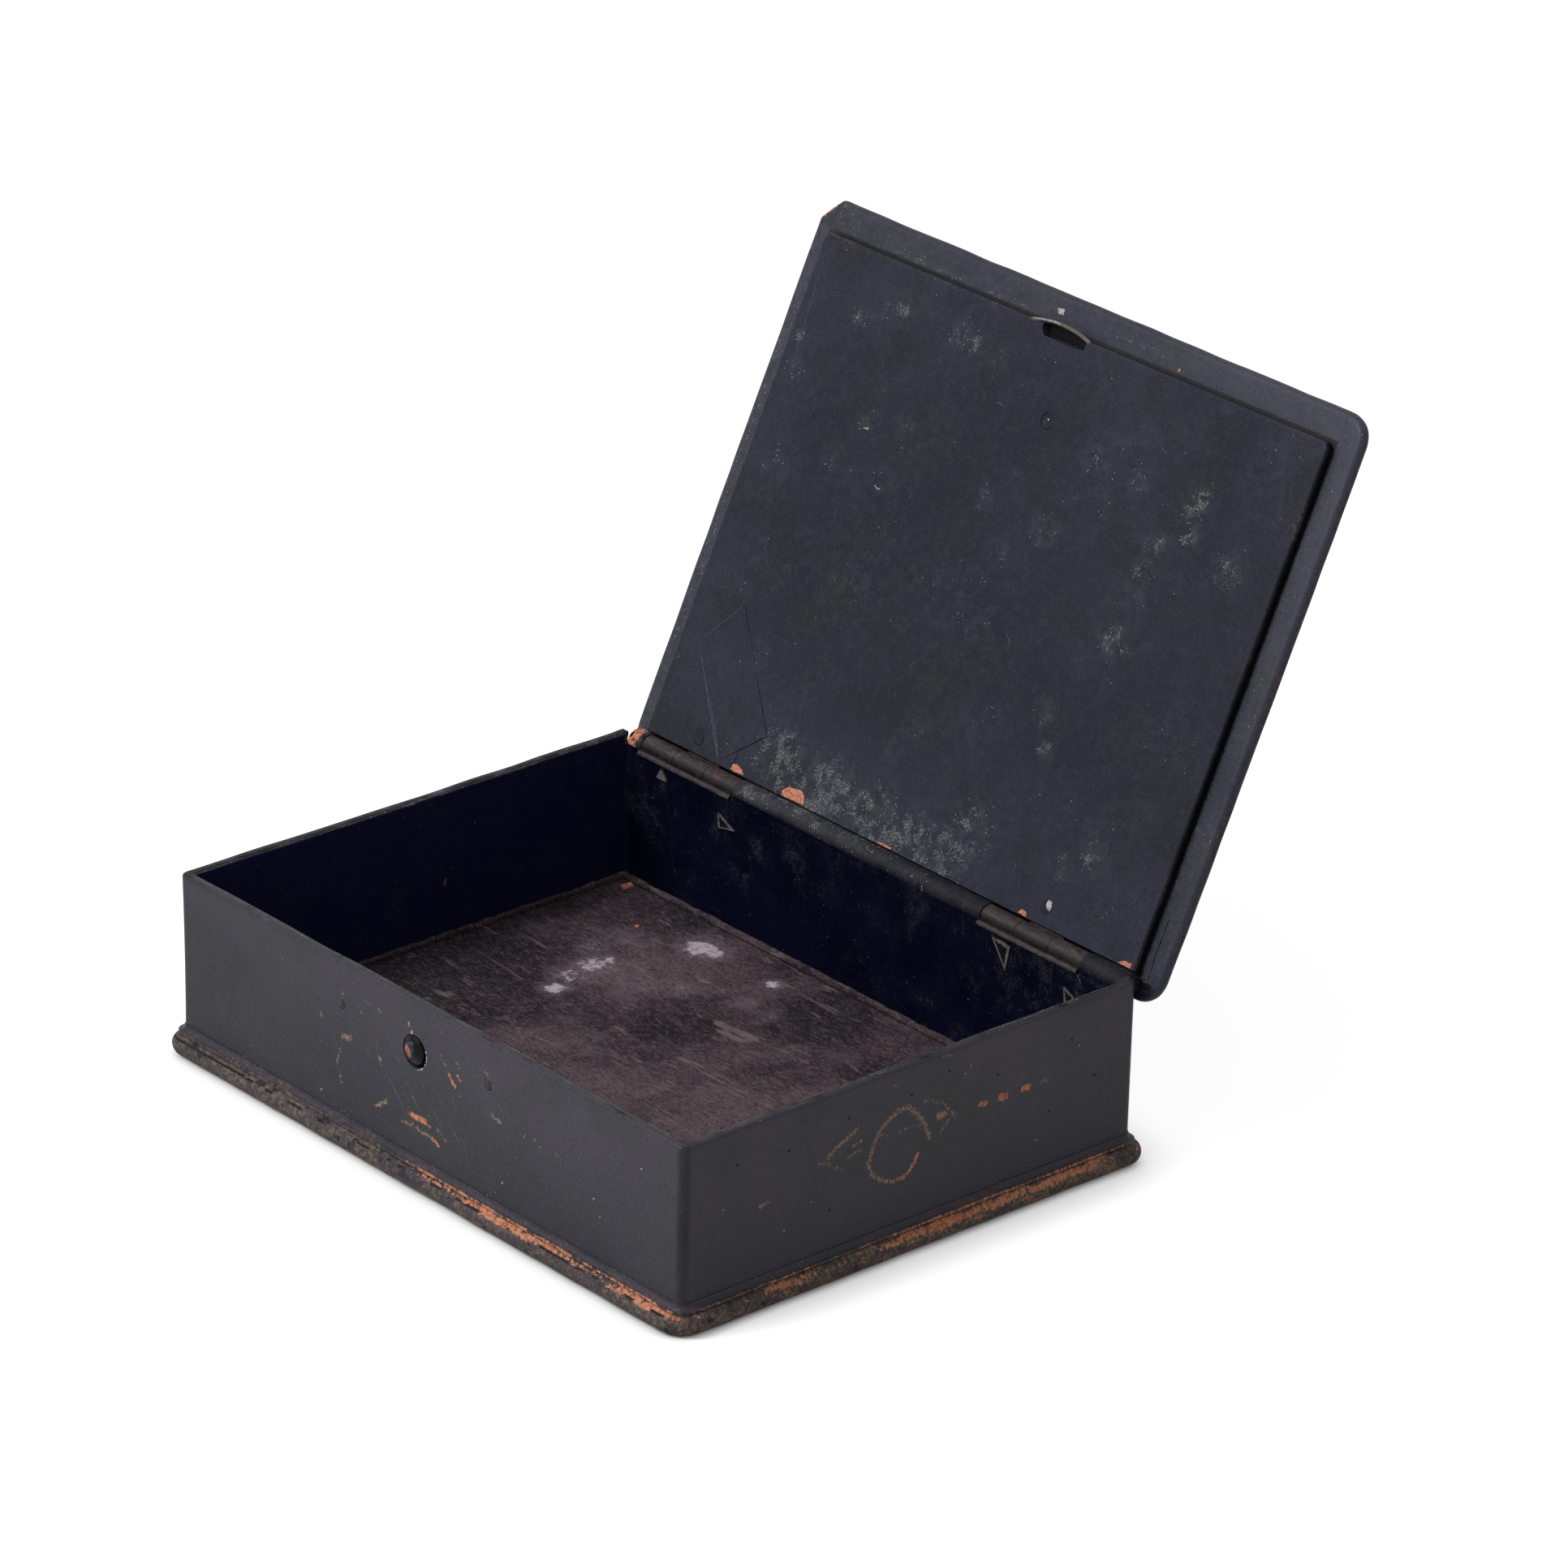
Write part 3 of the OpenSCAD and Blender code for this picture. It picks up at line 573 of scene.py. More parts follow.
def tarnished(name, dark, light, metallic, edges=(0.3, 0.27, 0.23)):
    """Dull, tarnished metal with pits, and a brighter painted highlight where its edges look up."""
    f = Finish(name)
    mottle = f.noise(0.9, 5, 0.7)
    f.colour = f.mix(f.ramp(mottle, 0.36, 0.64), dark, light)
    f.coat(f.specks(0.9, 0.2, 0.25), (0.012, 0.01, 0.01))
    f.coat(f.ramp(f.noise(2.2, 3), 0.56, 0.68, 0, 0.8), (0.13, 0.06, 0.035))
    # Painted highlight: the tone given as edges is laid where the surface looks up.
    looks_up = f.wire("ShaderNodeSeparateXYZ", {0: f.wire("ShaderNodeNewGeometry", {}, "True Normal")}, "Z")
    f.coat(f.ramp(looks_up, 0.45, 0.7), edges)
    f.emboss(mottle, 0.03)
    return f.done(f.ramp(mottle, 0.3, 0.7, 0.38, 0.6), 0.1 + metallic, metallic=metallic)


def button_finish(name):
    """Glossy black, with a painted grey highlight on the crown and painted shade on the flank round it, and
    rubbed to reddish brown on its lower left.
    """
    f = Finish(name)

    def near(x, z, full, none):
        middle = (x * MM, 0, z * MM)
        flat = f.wire("ShaderNodeVectorMath", {0: f.place, 1: (1, 0, 1)}, operation="MULTIPLY")
        away = f.wire("ShaderNodeVectorMath", {0: flat, 1: middle}, "Value", operation="DISTANCE")
        return f.ramp(away, none * MM, full * MM)

    mottle = f.noise(0.8, 4, 0.65)
    # Painted highlight: grey on the crown, left of the head's middle. Round it the head is painted near-black
    # as shade on its flank.
    lit_crown = near(-3.3, 27.3, 1.2, 2.0)
    crown_highlight = f.mix(f.ramp(mottle, 0.38, 0.62), (0.009, 0.0095, 0.014), (0.04, 0.042, 0.055))
    f.colour = f.mix(lit_crown, (0.001, 0.001, 0.0015), crown_highlight)
    worn = f.ramp(f.plus(near(-3.8, 26.6, 0.8, 1.8), f.times(mottle, 0.5)), 0.62, 0.85)
    f.coat(worn, f.mix(f.ramp(mottle, 0.4, 0.6), (0.16, 0.04, 0.035), (0.34, 0.11, 0.075)))
    f.emboss(f.plus(lit_crown, f.times(mottle, 0.15)), 0.25)
    return f.done(f.ramp(mottle, 0.3, 0.7, 0.25, 0.45), 0.12)


def plain_marks(name, one, two, specular=0.2):
    """Finish of cracks, flakes and threads, and of painted highlight and shade marks: two tones in fine
    mottle.
    """
    f = Finish(name)
    mottle = f.noise(0.6, 5, 0.75)
    f.colour = f.mix(f.ramp(mottle, 0.38, 0.62), one, two)
    f.emboss(mottle, 0.04)
    return f.done(f.ramp(mottle, 0.3, 0.7, 0.6, 0.8), specular)


outer = lacquer("outer_lacquer", (0.0195, 0.0185, 0.027), (0.044, 0.039, 0.054), (0.028, 0.029, 0.032),
                moulding=True)
under = lacquer("under_lacquer", (0.012, 0.0128, 0.024), (0.023, 0.0235, 0.041), (0.0135, 0.0155, 0.0175),
                specular=0.1)
border = lacquer("border_lacquer", (0.018, 0.0185, 0.032), (0.036, 0.038, 0.057), (0.026, 0.028, 0.034),
                 specular=0.2)
rail_lacquer = lacquer("rail_lacquer", (0.005, 0.005, 0.010), (0.026, 0.026, 0.037), (0.016, 0.016, 0.019),
                       specular=0.1, gloss=0.5)
inner = wall_paper("wall_paper")
floor_finish = floor_paper("floor_paper")
hinge_finish = hinge_metal("hinge_metal")
steel_finish = tarnished("steel", (0.03, 0.025, 0.022), (0.1, 0.085, 0.072), 0.4)
pin_finish = tarnished("pin_metal", (0.012, 0.011, 0.013), (0.04, 0.035, 0.038), 0.1, edges=(0.1, 0.09, 0.1))
hook_finish = tarnished("hook_metal", (0.004, 0.004, 0.005), (0.014, 0.012, 0.013), 0.0,
                        edges=(0.02, 0.018, 0.018))
button_black = button_finish("button_black")
crack_and_shade_black = plain_marks("crack_and_shade_black", (0.002, 0.002, 0.003), (0.008, 0.007, 0.009), 0.05)
bare_board = plain_marks("bare_board", (0.34, 0.1, 0.055), (0.6, 0.27, 0.17))
pale_chips = plain_marks("pale_chips", (0.2, 0.18, 0.18), (0.5, 0.46, 0.46))
grey_thread_and_highlight = plain_marks("grey_thread_and_highlight", (0.07, 0.065, 0.078), (0.17, 0.155, 0.17))


# Marks on the outside. Rows: half width, strength, and places on the wall's face

# Right wall, y and z: worn traces of a painted ring, leaves and dots
RIGHT_MARKS = [
    (0.5, 0.9, [(3.8, 20.8), (2.7, 23.9), (0.6, 26.7), (-1.4, 28.6), (-3.7, 28.7), (-6.2, 27.5)]),
    (0.5, 0.8, [(-6.2, 27.5), (-8.4, 25.8), (-9.5, 23.7), (-10.2, 21.5), (-10.9, 20.0), (-9.7, 17.6),
                (-7.7, 16.0), (-4.7, 14.7), (-2.4, 15.0)]),
    (0.75, 1.0, [(6.0, 24.5), (7.2, 24.5)]),
    (0.34, 0.75, [(2.1, 28.5), (4.5, 28.1), (7.1, 26.6), (8.9, 24.7), (10.2, 23.2)]),
    (0.34, 0.7, [(10.5, 23.9), (9.0, 23.1), (7.3, 22.0), (6.4, 20.6)]),
    (0.48, 0.85, [(-13.7, 28.1), (-15.8, 27.0), (-18.3, 26.0), (-20.5, 24.6)]),
    (0.36, 0.75, [(-12.4, 23.7), (-13.8, 23.5), (-15.7, 22.9)]),
    (0.36, 0.75, [(-22.8, 24.4), (-20.1, 22.9), (-16.6, 20.8)]),
    (0.34, 0.55, [(-8.8, 25.2), (-5.2, 24.2), (-0.5, 24.6), (2.2, 23.4)]),
    (0.4, 0.85, [(31.0, 23.7), (32.4, 23.6)]),
    (0.34, 0.75, [(6.7, 36.2), (8.4, 36.0)]),
    (0.34, 0.7, [(-5.5, 33.9), (-3.9, 33.8)]),
    (0.34, 0.75, [(13.3, 32.6), (13.5, 31.9)]),
    (0.5, 0.6, [(-36.5, 19.9), (-34.4, 20.2)]),
]
RIGHT_WEAR = [
    (0.4, 0.9, [(1.2, 18.7), (0.4, 17.0), (-0.9, 15.6), (-2.4, 14.6)]),
    (0.36, 0.85, [(-12.7, 25.4), (-14.4, 25.0)]),
    (0.5, 0.95, [(15.9, 23.7), (17.7, 23.5)]),
    (0.72, 1.0, [(20.9, 23.5), (22.1, 23.4)]),
    (0.72, 1.0, [(26.6, 23.5), (27.8, 23.5)]),
    (0.4, 0.9, [(6.3, 24.5), (6.9, 24.5)]),
]
# Front wall, x and z: scuffs round the button
FRONT_MARKS = [
    (0.4, 0.85, [(-6.0, 11.6), (-2.7, 11.9), (0.1, 11.6), (2.5, 11.5)]),
    (0.32, 0.7, [(3.8, 13.8), (6.4, 12.6)]),
    (0.3, 0.9, [(5.0, 28.8), (5.9, 27.8)]),
    (0.3, 0.85, [(6.6, 27.4), (7.2, 26.3)]),
    (0.3, 0.7, [(9.4, 29.3), (10.4, 28.0)]),
    (0.3, 0.8, [(17.5, 30.8), (18.2, 30.1)]),
    (0.4, 0.85, [(19.2, 22.9), (20.8, 22.4), (22.2, 22.3)]),
    (0.3, 0.75, [(27.9, 22.3), (28.6, 22.1)]),
    (0.3, 0.8, [(31.3, 22.5), (32.9, 21.9)]),
    (0.3, 0.85, [(37.2, 22.4), (39.0, 21.6)]),
    (0.6, 0.62, [(-13.8, 11.6), (-12.2, 12.6), (-10.3, 14.0)]),
    (0.4, 0.8, [(-30.1, 24.2), (-29.6, 23.5)]),
    (0.8, 0.7, [(-23.4, 22.0), (-21.4, 22.2)]),
    (0.5, 0.55, [(-24.1, 20.7), (-24.8, 17.1), (-25.3, 14.9), (-24.3, 13.6), (-23.8, 12.3)]),
    (0.3, 0.7, [(-18.6, 29.9), (-18.1, 28.9)]),
    (0.4, 0.65, [(-13.2, 31.6), (-12.2, 31.2)]),
    (0.4, 0.6, [(-23.8, 30.7), (-22.2, 31.0)]),
    (0.6, 0.5, [(-12.7, 22.0), (-12.2, 20.5)]),
    (0.34, 0.75, [(10.2, 23.1), (10.7, 22.6)]),
]
FRONT_WEAR = [
    (0.62, 1.0, [(-3.4, 13.9), (-2.2, 13.9), (-0.4, 14.0), (0.8, 13.9)]),
    (0.36, 0.9, [(-4.6, 13.9), (2.0, 13.7)]),
    (0.42, 0.95, [(2.5, 11.5), (4.3, 10.8)]),
    (0.4, 1.0, [(7.4, 25.9), (8.9, 24.3)]),
    (0.32, 0.95, [(9.6, 26.9), (10.5, 26.3)]),
]
# Fine scratches on the front wall, as places only
FRONT_SCRATCHES = [
    [(-16.9, 23.5), (-15.7, 20.8)], [(-5.6, 20.5), (-2.3, 17.0)], [(-0.7, 22.1), (1.2, 18.2)],
    [(-10.8, 19.4), (-7.9, 16.3)], [(4.2, 20.4), (6.1, 19.4)], [(-4.3, 23.5), (-5.4, 20.6)],
    [(-21.7, 25.1), (-20.2, 21.0)], [(-14.1, 26.7), (-13.1, 22.1)], [(-9.3, 18.4), (-5.1, 13.4)],
    [(-19.3, 31.6), (-14.6, 31.4)], [(-3.9, 18.3), (-0.4, 15.3)], [(10.8, 15.2), (12.9, 11.9)],
    [(7.1, 16.4), (10.4, 13.7)], [(1.9, 17.9), (5.5, 14.3)], [(-26.0, 22.4), (-24.8, 17.6)],
    [(8.0, 22.2), (9.8, 19.3)], [(-8.0, 23.8), (-6.5, 23.1)],
]


# Walls

def on_face(points, axis, value):
    """1 on one outer face of the walls, 0 away from it."""
    return (np.abs(points[:, axis] - value) < 0.25).astype(float)


def paint_walls(points):
    x, y, z = points.T
    left = x < -69
    right = on_face(points, 0, HALF_W)
    front = on_face(points, 1, FRONT)
    seen_right = points[:, 1:]
    seen_front = points[:, [0, 2]]
    tan = right * strokes(seen_right, RIGHT_MARKS, 1.3) + front * strokes(seen_front, FRONT_MARKS, 1.6)
    wear = right * strokes(seen_right, RIGHT_WEAR, 1.0) + front * strokes(seen_front, FRONT_WEAR, 1.0)
    left_rear = np.hypot(y - 53.5, z - 34.5)
    wear = np.maximum(wear, left * ease(left_rear, 3.4, 1.4) * 0.62)
    rim = ease(z, RIM_Z - 0.65, RIM_Z - 0.1)
    corner = np.hypot(np.maximum(np.abs(x) - 70.2, 0), np.maximum(np.abs(y) - 52.5, 0))
    corner_shade = ease(corner, 0.3, 1.5) * (np.abs(x) > 70.4) * (np.abs(y) > 52.7)
    # Painted light and shade: paler towards the top and darker towards the foot, a painted dark reflection
    # down the rounded corners, and the right wall painted paler. Besides, the front wall is darker towards
    # its left, and the rim is darker, most on the left wall.
    fade_and_painted_light = 0.12 + 0.82 * ease(z, 6, 37) - 0.75 * corner_shade + 0.1 * ripple(points, 30, 2)
    fade_and_painted_light -= 0.5 * front * ease(x, -10, -60) - 0.12 * right + rim * np.where(left, 0.9, 0.3)
    rub_and_highlight = rim * np.where(left, 0.1, 0.3) + 0.14 * rim * ripple(points, 7, 3)
    # Painted highlight: a pale band along the foot of the walls, just above the plinth.
    rub_and_highlight = np.maximum(rub_and_highlight, 0.45 * ease(z, PLINTH_TOP + 0.8, PLINTH_TOP + 0.1))
    dust = 0.12 + 0.1 * ripple(points, 22, 4) + 0.05 * right
    inside = (np.abs(x) < 70.6) & (y > -52.9) & (y < 52.4)
    dirt_and_shade = rim * np.where(left, 0.6, 0.38) + 0.12 * rim * ripple(points, 5, 9)
    dust = np.where(inside, 0.65 + 0.25 * ripple(points, 20, 6), dust)
    rub_and_highlight = np.where(inside & (z < 36.2), 0.4 * ease(z, 8.4, 7.6), rub_and_highlight)
    # Painted light: the inside of the left wall is painted paler where it lies in shade.
    fade_and_painted_light = np.where(inside, 0.9 * left, fade_and_painted_light)
    tan = np.maximum(tan, inside * left * ease(np.hypot(y - 6.8, z - 17.6), 1.3, 0.4))
    return {"tan": tan, "wear": wear, "rub_and_highlight": rub_and_highlight, "dust": dust, "dirt_and_shade": dirt_and_shade, "fade_and_painted_light": fade_and_painted_light}


def looks_inward(centres):
    """Which faces of the walls have the inner paper."""
    x, y, z = centres.T
    return (np.abs(x) < 70.5) & (y > -52.7) & (y < 52.25) & (z < 36.6) & (z > 6.15)


def build_walls():
    ease_z = RIM_Z - RIM_EASE
    profile = [(WALL_T / 2, PLINTH_TOP)]
    profile += [(0, z) for z in run(PLINTH_TOP, ease_z, 0.5)]
    profile += arc(RIM_EASE, ease_z, RIM_EASE, 180, 90, 5)[1:]
    profile += arc(WALL_T - RIM_EASE, ease_z, RIM_EASE, 90, 0, 5)
    profile += [(WALL_T, z) for z in run(ease_z, PLINTH_TOP, 3)[1:]]
    walls = sweep("walls", BODY_W, BODY_D, CORNER_R, profile, (210, 96, 72, 282), closed=True)
    points = places(walls.data)
    points[:, 1] -= 0.05 * (np.abs(points[:, 1] - REAR_IN) < 0.02) * (np.abs(points[:, 0]) < IN_W / 2 - 0.3)
    place(walls.data, points)
    rail = arc(AXIS_Y, AXIS_Z, RAIL_R + 0.04, 180, 360, 25)
    rail = [(REAR_IN - 0.5, RIM_Z + 1), (REAR_IN - 0.5, AXIS_Z), *rail, (AXIS_Y + 2.54, RIM_Z + 1)]
    hole = arc(*BUTTON, BUTTON_R, 0, 352.5, 48)
    bite = [(52.5, RIM_Z + 1), (52.6, 36.5), (52.3, 35.4), (52.75, 34.7), (52.6, 33.9), (53.5, 33.2),
            (53.8, 32.4), (55.4, 31.3), (56, RIM_Z + 1)]
    carve(walls, [prism(rail, -IN_W / 2, IN_W / 2, "x"), prism(hole, FRONT - 2, FRONT + WALL_T + 1, "y"),
                  prism(bite, -HALF_W - 1, -IN_W / 2 + 0.01, "x")])
    points = places(walls.data)
    x, y, z = points.T
    lift = ((z - PLINTH_TOP) / 31) ** 2
    corner = np.exp(-((x + 72) ** 2 + (y + 54) ** 2) / 900)
    points[:, 0] -= 0.45 * lift * corner
    points[:, 1] -= 0.2 * lift * corner
    sag = 0.09 * ease(z, 35.5, 36.9) * np.maximum(1 + ripple(points, 16, 8), 0)
    points[:, 2] -= sag * (np.abs(y - AXIS_Y) > 4)
    place(walls.data, points)
    complete(walls, "box", [outer, inner], ["wall_frame"], paint_walls, looks_inward)


# Base

def sides(points):
    """Which points lie on the front's and the right side's mouldings."""
    x, y, _ = points.T
    beyond = (np.abs(x) - HALF_W) - (np.abs(y) - HALF_D)
    return (y < -50) & (beyond < 0), (x > 66) & (beyond >= 0)


def paint_base(points):
    x, y, z = points.T
    front, right = sides(points)
    swell = ripple(points, 14, 21)
    small = ripple(points, 5, 22)
    streak = np.exp(-((z - np.where(right, 3.6, 3.95) - 0.2 * small) / np.where(right, 0.85, 0.7)) ** 2)
    strong = np.where(front, 0.88 * ease(x, -16, 4), 0.35)
    along_right = 0.58 + 0.3 * ease(y, -14, -4) * ease(50 - y, 0, 12) + 0.3 * np.exp(-((y + 32) / 6) ** 2)
    strong = np.where(right, along_right, strong)
    wear = streak * strong * (0.84 + 0.16 * swell)
    second = np.exp(-((z - 2.4 - 0.2 * swell) / 0.45) ** 2) * np.where(right, 0.6 * along_right, 0.0)
    wear = np.maximum(wear, second * (0.9 + 0.25 * small))
    tan = np.where(right, 0.46 + 0.12 * small + 0.1 * swell, 0.26 + 0.12 * small)
    grime = np.where(right, 0.86, 0.72) + 0.14 * swell
    under = z < 0.05
    crack = front & (np.abs(z - 3.7) < 0.3)
    return {"wear": np.where(under, 0, wear), "grime": np.where(under, 0.3, grime), "rub_and_highlight": 0.6 + 0.1 * swell,
            "dirt_and_shade": 0.62 * crack * ((small > 0.2) | (x < -50)), "dust": 0.3 + 0.12 * swell,
            "tan": np.where(under, 0, tan), "fade_and_painted_light": 0.4 + 0.2 * swell}


def build_base():
    r = BASE_T / 2
    w = BODY_W + 2 * BASE_REACH - 0.03
    d = BODY_D + 2 * BASE_REACH - 0.03
    profile = [(d / 2 - 0.01, 0)] + [(i, 0) for i in run(d / 2 - 4, r + 4, 9)]
    profile += arc(r, r, r, 270, 90, 19)
    profile += [(i, BASE_T) for i in run(r + 0.6, r + 4, 0.8)] + [(d / 2 - 0.01, BASE_T)]
    base = sweep("base", w, d, CORNER_R + BASE_REACH, profile, (170, 214, 170, 214), corner_steps=10)
    points = places(base.data)
    x, y, _ = points.T
    in_x = HALF_W - 1
    in_y = HALF_D - 1
    edge = ease(np.maximum(np.abs(x) - in_x, np.abs(y) - in_y), 0, 3)
    dent = 0.07 * (ripple(points, 13, 31) + 0.35 * ripple(points, 4, 32)) - 0.1
    dent -= 0.9 * np.exp(-((x - 74) ** 2 + (y + 56.5) ** 2) / 12)
    pull = edge * np.minimum(dent, 0.0)
    points[:, 0] += pull * np.sign(x) * (np.abs(x) > in_x)
    points[:, 1] += pull * np.sign(y) * (np.abs(y) > in_y)
    place(base.data, points)
    complete(base, "box", [outer], ["base_board"], paint_base)


def paint_plinth(points):
    x, y, z = points.T
    front, right = sides(points)
    swell = ripple(points, 12, 41)
    out = np.maximum(np.abs(x) - HALF_W, np.abs(y) - HALF_D)
    lip = ease(out, 0.6, 1.3)
    along_right = 0.5 + 0.15 * ease(y, -14, -4)
    wear = lip * np.where(front, 0.66 * ease(x, -18, 2), np.where(right, along_right, 0.25))
    wear = wear * (1 + 0.16 * swell)
    grime = 0.25 + 0.5 * lip + 0.12 * swell
    rub_and_highlight = 0.5 + 0.3 * lip + 0.15 * swell
    dirt_and_shade = 0.6 * ease(z, 4.62, 4.42) * (out > 0.8)
    return {"wear": wear, "grime": grime, "rub_and_highlight": rub_and_highlight, "dirt_and_shade": dirt_and_shade, "dust": 0.3 + 0.1 * swell,
            "tan": lip * np.where(right, 0.5, 0.2), "fade_and_painted_light": 0.55 + 0.2 * swell}


def build_plinth():
    hollow = 1.2
    inset = -(0.15 + hollow)
    middle = HALF_D - 0.01
    profile = [(middle, BASE_T), (4, BASE_T), (inset + 0.12, BASE_T), (inset, BASE_T + 0.12)]
    profile += [(inset, BASE_T + 0.45)]
    profile += arc(inset, PLINTH_TOP, hollow, 270, 360, 9)
    profile += [(0.3, PLINTH_TOP), (4, PLINTH_TOP), (middle, PLINTH_TOP)]
    plinth = sweep("plinth", BODY_W, BODY_D, CORNER_R, profile, (150, 200, 150, 200), corner_steps=8)
    points = places(plinth.data)
    x, y, _ = points.T
    out = np.maximum(np.abs(x) - HALF_W, np.abs(y) - HALF_D)
    pull = -0.08 * ease(out, 0.5, 1.3) * np.maximum(1 + ripple(points, 9, 43), 0)
    pull -= 0.4 * np.exp(-((x - 73) ** 2 + (y + 55.4) ** 2) / 8) * ease(out, 0.2, 1.2)
    points[:, 0] += pull * np.sign(x) * (np.abs(x) > 72.2)
    points[:, 1] += pull * np.sign(y) * (np.abs(y) > 54.5)
    place(plinth.data, points)
    complete(plinth, "box", [outer], ["plinth_board"], paint_plinth)


# Linings

# Chalky places on the floor: x, y, radius and strength
FLOOR_STAINS = [
    (-35.5, 42, 8, 1.0), (-32.5, 42.5, 6.5, 1.0), (-42, 21, 8, 0.85), (-39, 9, 5.5, 1.0), (-41, 15, 8, 0.75),
    (-14.5, 42.5, 3.6, 1.0), (-42, 24.5, 3.4, 1.0), (-24, 28, 5, 0.5), (-12, 33, 4, 0.5), (-30, 20, 9, 0.4),
    (-47, 33, 9, 0.45), (-48, 26, 7, 0.5), (-5, 33, 5, 0.4),
]


def paint_floor(points):
    x, y, z = points.T
    flat = points[:, :2]
    swell = ripple(points, 24, 51)
    dust = spots(flat, FLOOR_STAINS) + 0.06 * ripple(points, 4, 52)
    fade_and_painted_light = 0.36 + 0.2 * swell + 0.85 * spots(flat, [(15, -30, 60, 1), (-30, 32, 26, 0.6)])
    fade_and_painted_light -= 0.4 * ease(x, -30, -55) * ease(y, 25, 0) + 0.2 * ease(x, 35, 60) * ease(y, -10, 20)
    rub_and_highlight = 0.32 + 0.12 * ripple(points, 9, 53)
    peeled = [(1.3, 1, [(-8.0, 23.4), (-3, 24.6), (0.6, 23.9)]), (1.3, 1, [(-5.5, 21.4), (-0.4, 22.0)]),
              (0.9, 0.95, [(-4.3, 18.9), (-1.5, 20.0)]), (0.8, 0.9, [(-1.4, 8.7), (2.9, 9.0)])]
    rub_and_highlight = np.maximum(rub_and_highlight, 0.95 * strokes(flat, peeled, 2.4))
    side = np.minimum(IN_W / 2 - np.abs(x), IN_D / 2 - np.abs(y))
    # Darker within 6 mm of the walls, and most at the foot of the lining's raised lip.
    foot = ease(side, 2.0, 1.2) * ease(side, 0.9, 1.1)
    dirt_and_shade = np.maximum(0.32 * ease(side, 6, 1.5), 0.75 * foot) * (z < 7.3)
    lip = (side < 1.1) & (z > 6.8)
    rub_and_highlight = np.where(lip, 0.42 + 0.16 * swell, rub_and_highlight)
    fade_and_painted_light = np.where(lip, 0.55, fade_and_painted_light)
    tan = 0.9 * spots(flat, [(-16.3, -4.9, 0.9, 0.9)])
    return {"dust": dust, "rub_and_highlight": rub_and_highlight, "dirt_and_shade": dirt_and_shade, "tan": tan, "fade_and_painted_light": fade_and_painted_light}


def build_floor():
    w = IN_W - 0.3
    d = IN_D - 0.3
    z0 = PLINTH_TOP + 0.04
    profile = [(d / 2 - 0.01, z0), (3, z0), (0, z0)]
    profile += [(0, z) for z in run(z0, z0 + 1.45, 0.5)[1:]]
    profile += [(0.08, z0 + 1.5), (0.5, z0 + 1.5), (0.62, z0 + 1.35), (0.68, z0 + 1.0), (0.75, z0 + 0.6)]
    profile += [(0.95, z0 + 0.42), (1.2, z0 + 0.5)]
    profile += [(i, z0 + 0.6) for i in run(1.6, d / 2 - 0.6, 0.8)] + [(d / 2 - 0.01, z0 + 0.6)]
    lining = sweep("floor", w, d, 0.5, profile, (118, 156, 118, 156), least=0.3, corner_steps=4)
    points = places(lining.data)
    x, y, z = points.T
    lip = ease(z, 7.1, 7.6)
    torn = 0.16 + 0.16 * ripple(points, 6, 61) + 0.1 * ripple(points, 1.9, 62)
    points[:, 2] -= lip * np.clip(torn, 0, 0.6)
    points[:, 2] += 0.2 * lip * (y > 50) * (x > -53)
    points[:, 2] = np.minimum(points[:, 2], z0 + 1.55)
    middle = ease(np.minimum(w / 2 - np.abs(x), d / 2 - np.abs(y)), 2, 8) * (z > 6.6)
    points[:, 2] += middle * (0.09 * ripple(points, 26, 63) + 0.05 * ripple(points, 7, 64) - 0.05)
    place(lining.data, points)
    complete(lining, "box", [floor_finish], ["floor_lining"], paint_floor)


def paint_rear(points):
    x, _, z = points.T
    swell = ripple(points, 12, 71)
    edge = ease(x + 53.3 + 5.1 * (z - 7) / 27.5, 0.5, 0.1)
    dust = 0.42 + 0.25 * swell + 0.5 * ease(x, 10, 60) + 0.15 * ease(z, 20, 30)
    streaks = [(0.3, 0.8, [(8, 24), (9, 9)]), (0.3, 0.7, [(11, 24), (12, 10)]),
               (1.0, 0.6, [(9.5, 14), (10.5, 8)]), (0.8, 0.5, [(-23, 26.8), (-12, 18.4)])]
    streak = strokes(points[:, [0, 2]], streaks, 2)
    rub_and_highlight = np.maximum(0.45 * edge, 0.45 * ease(z, 9.0, 7.9))
    return {"dust": np.maximum(dust, streak), "rub_and_highlight": rub_and_highlight}


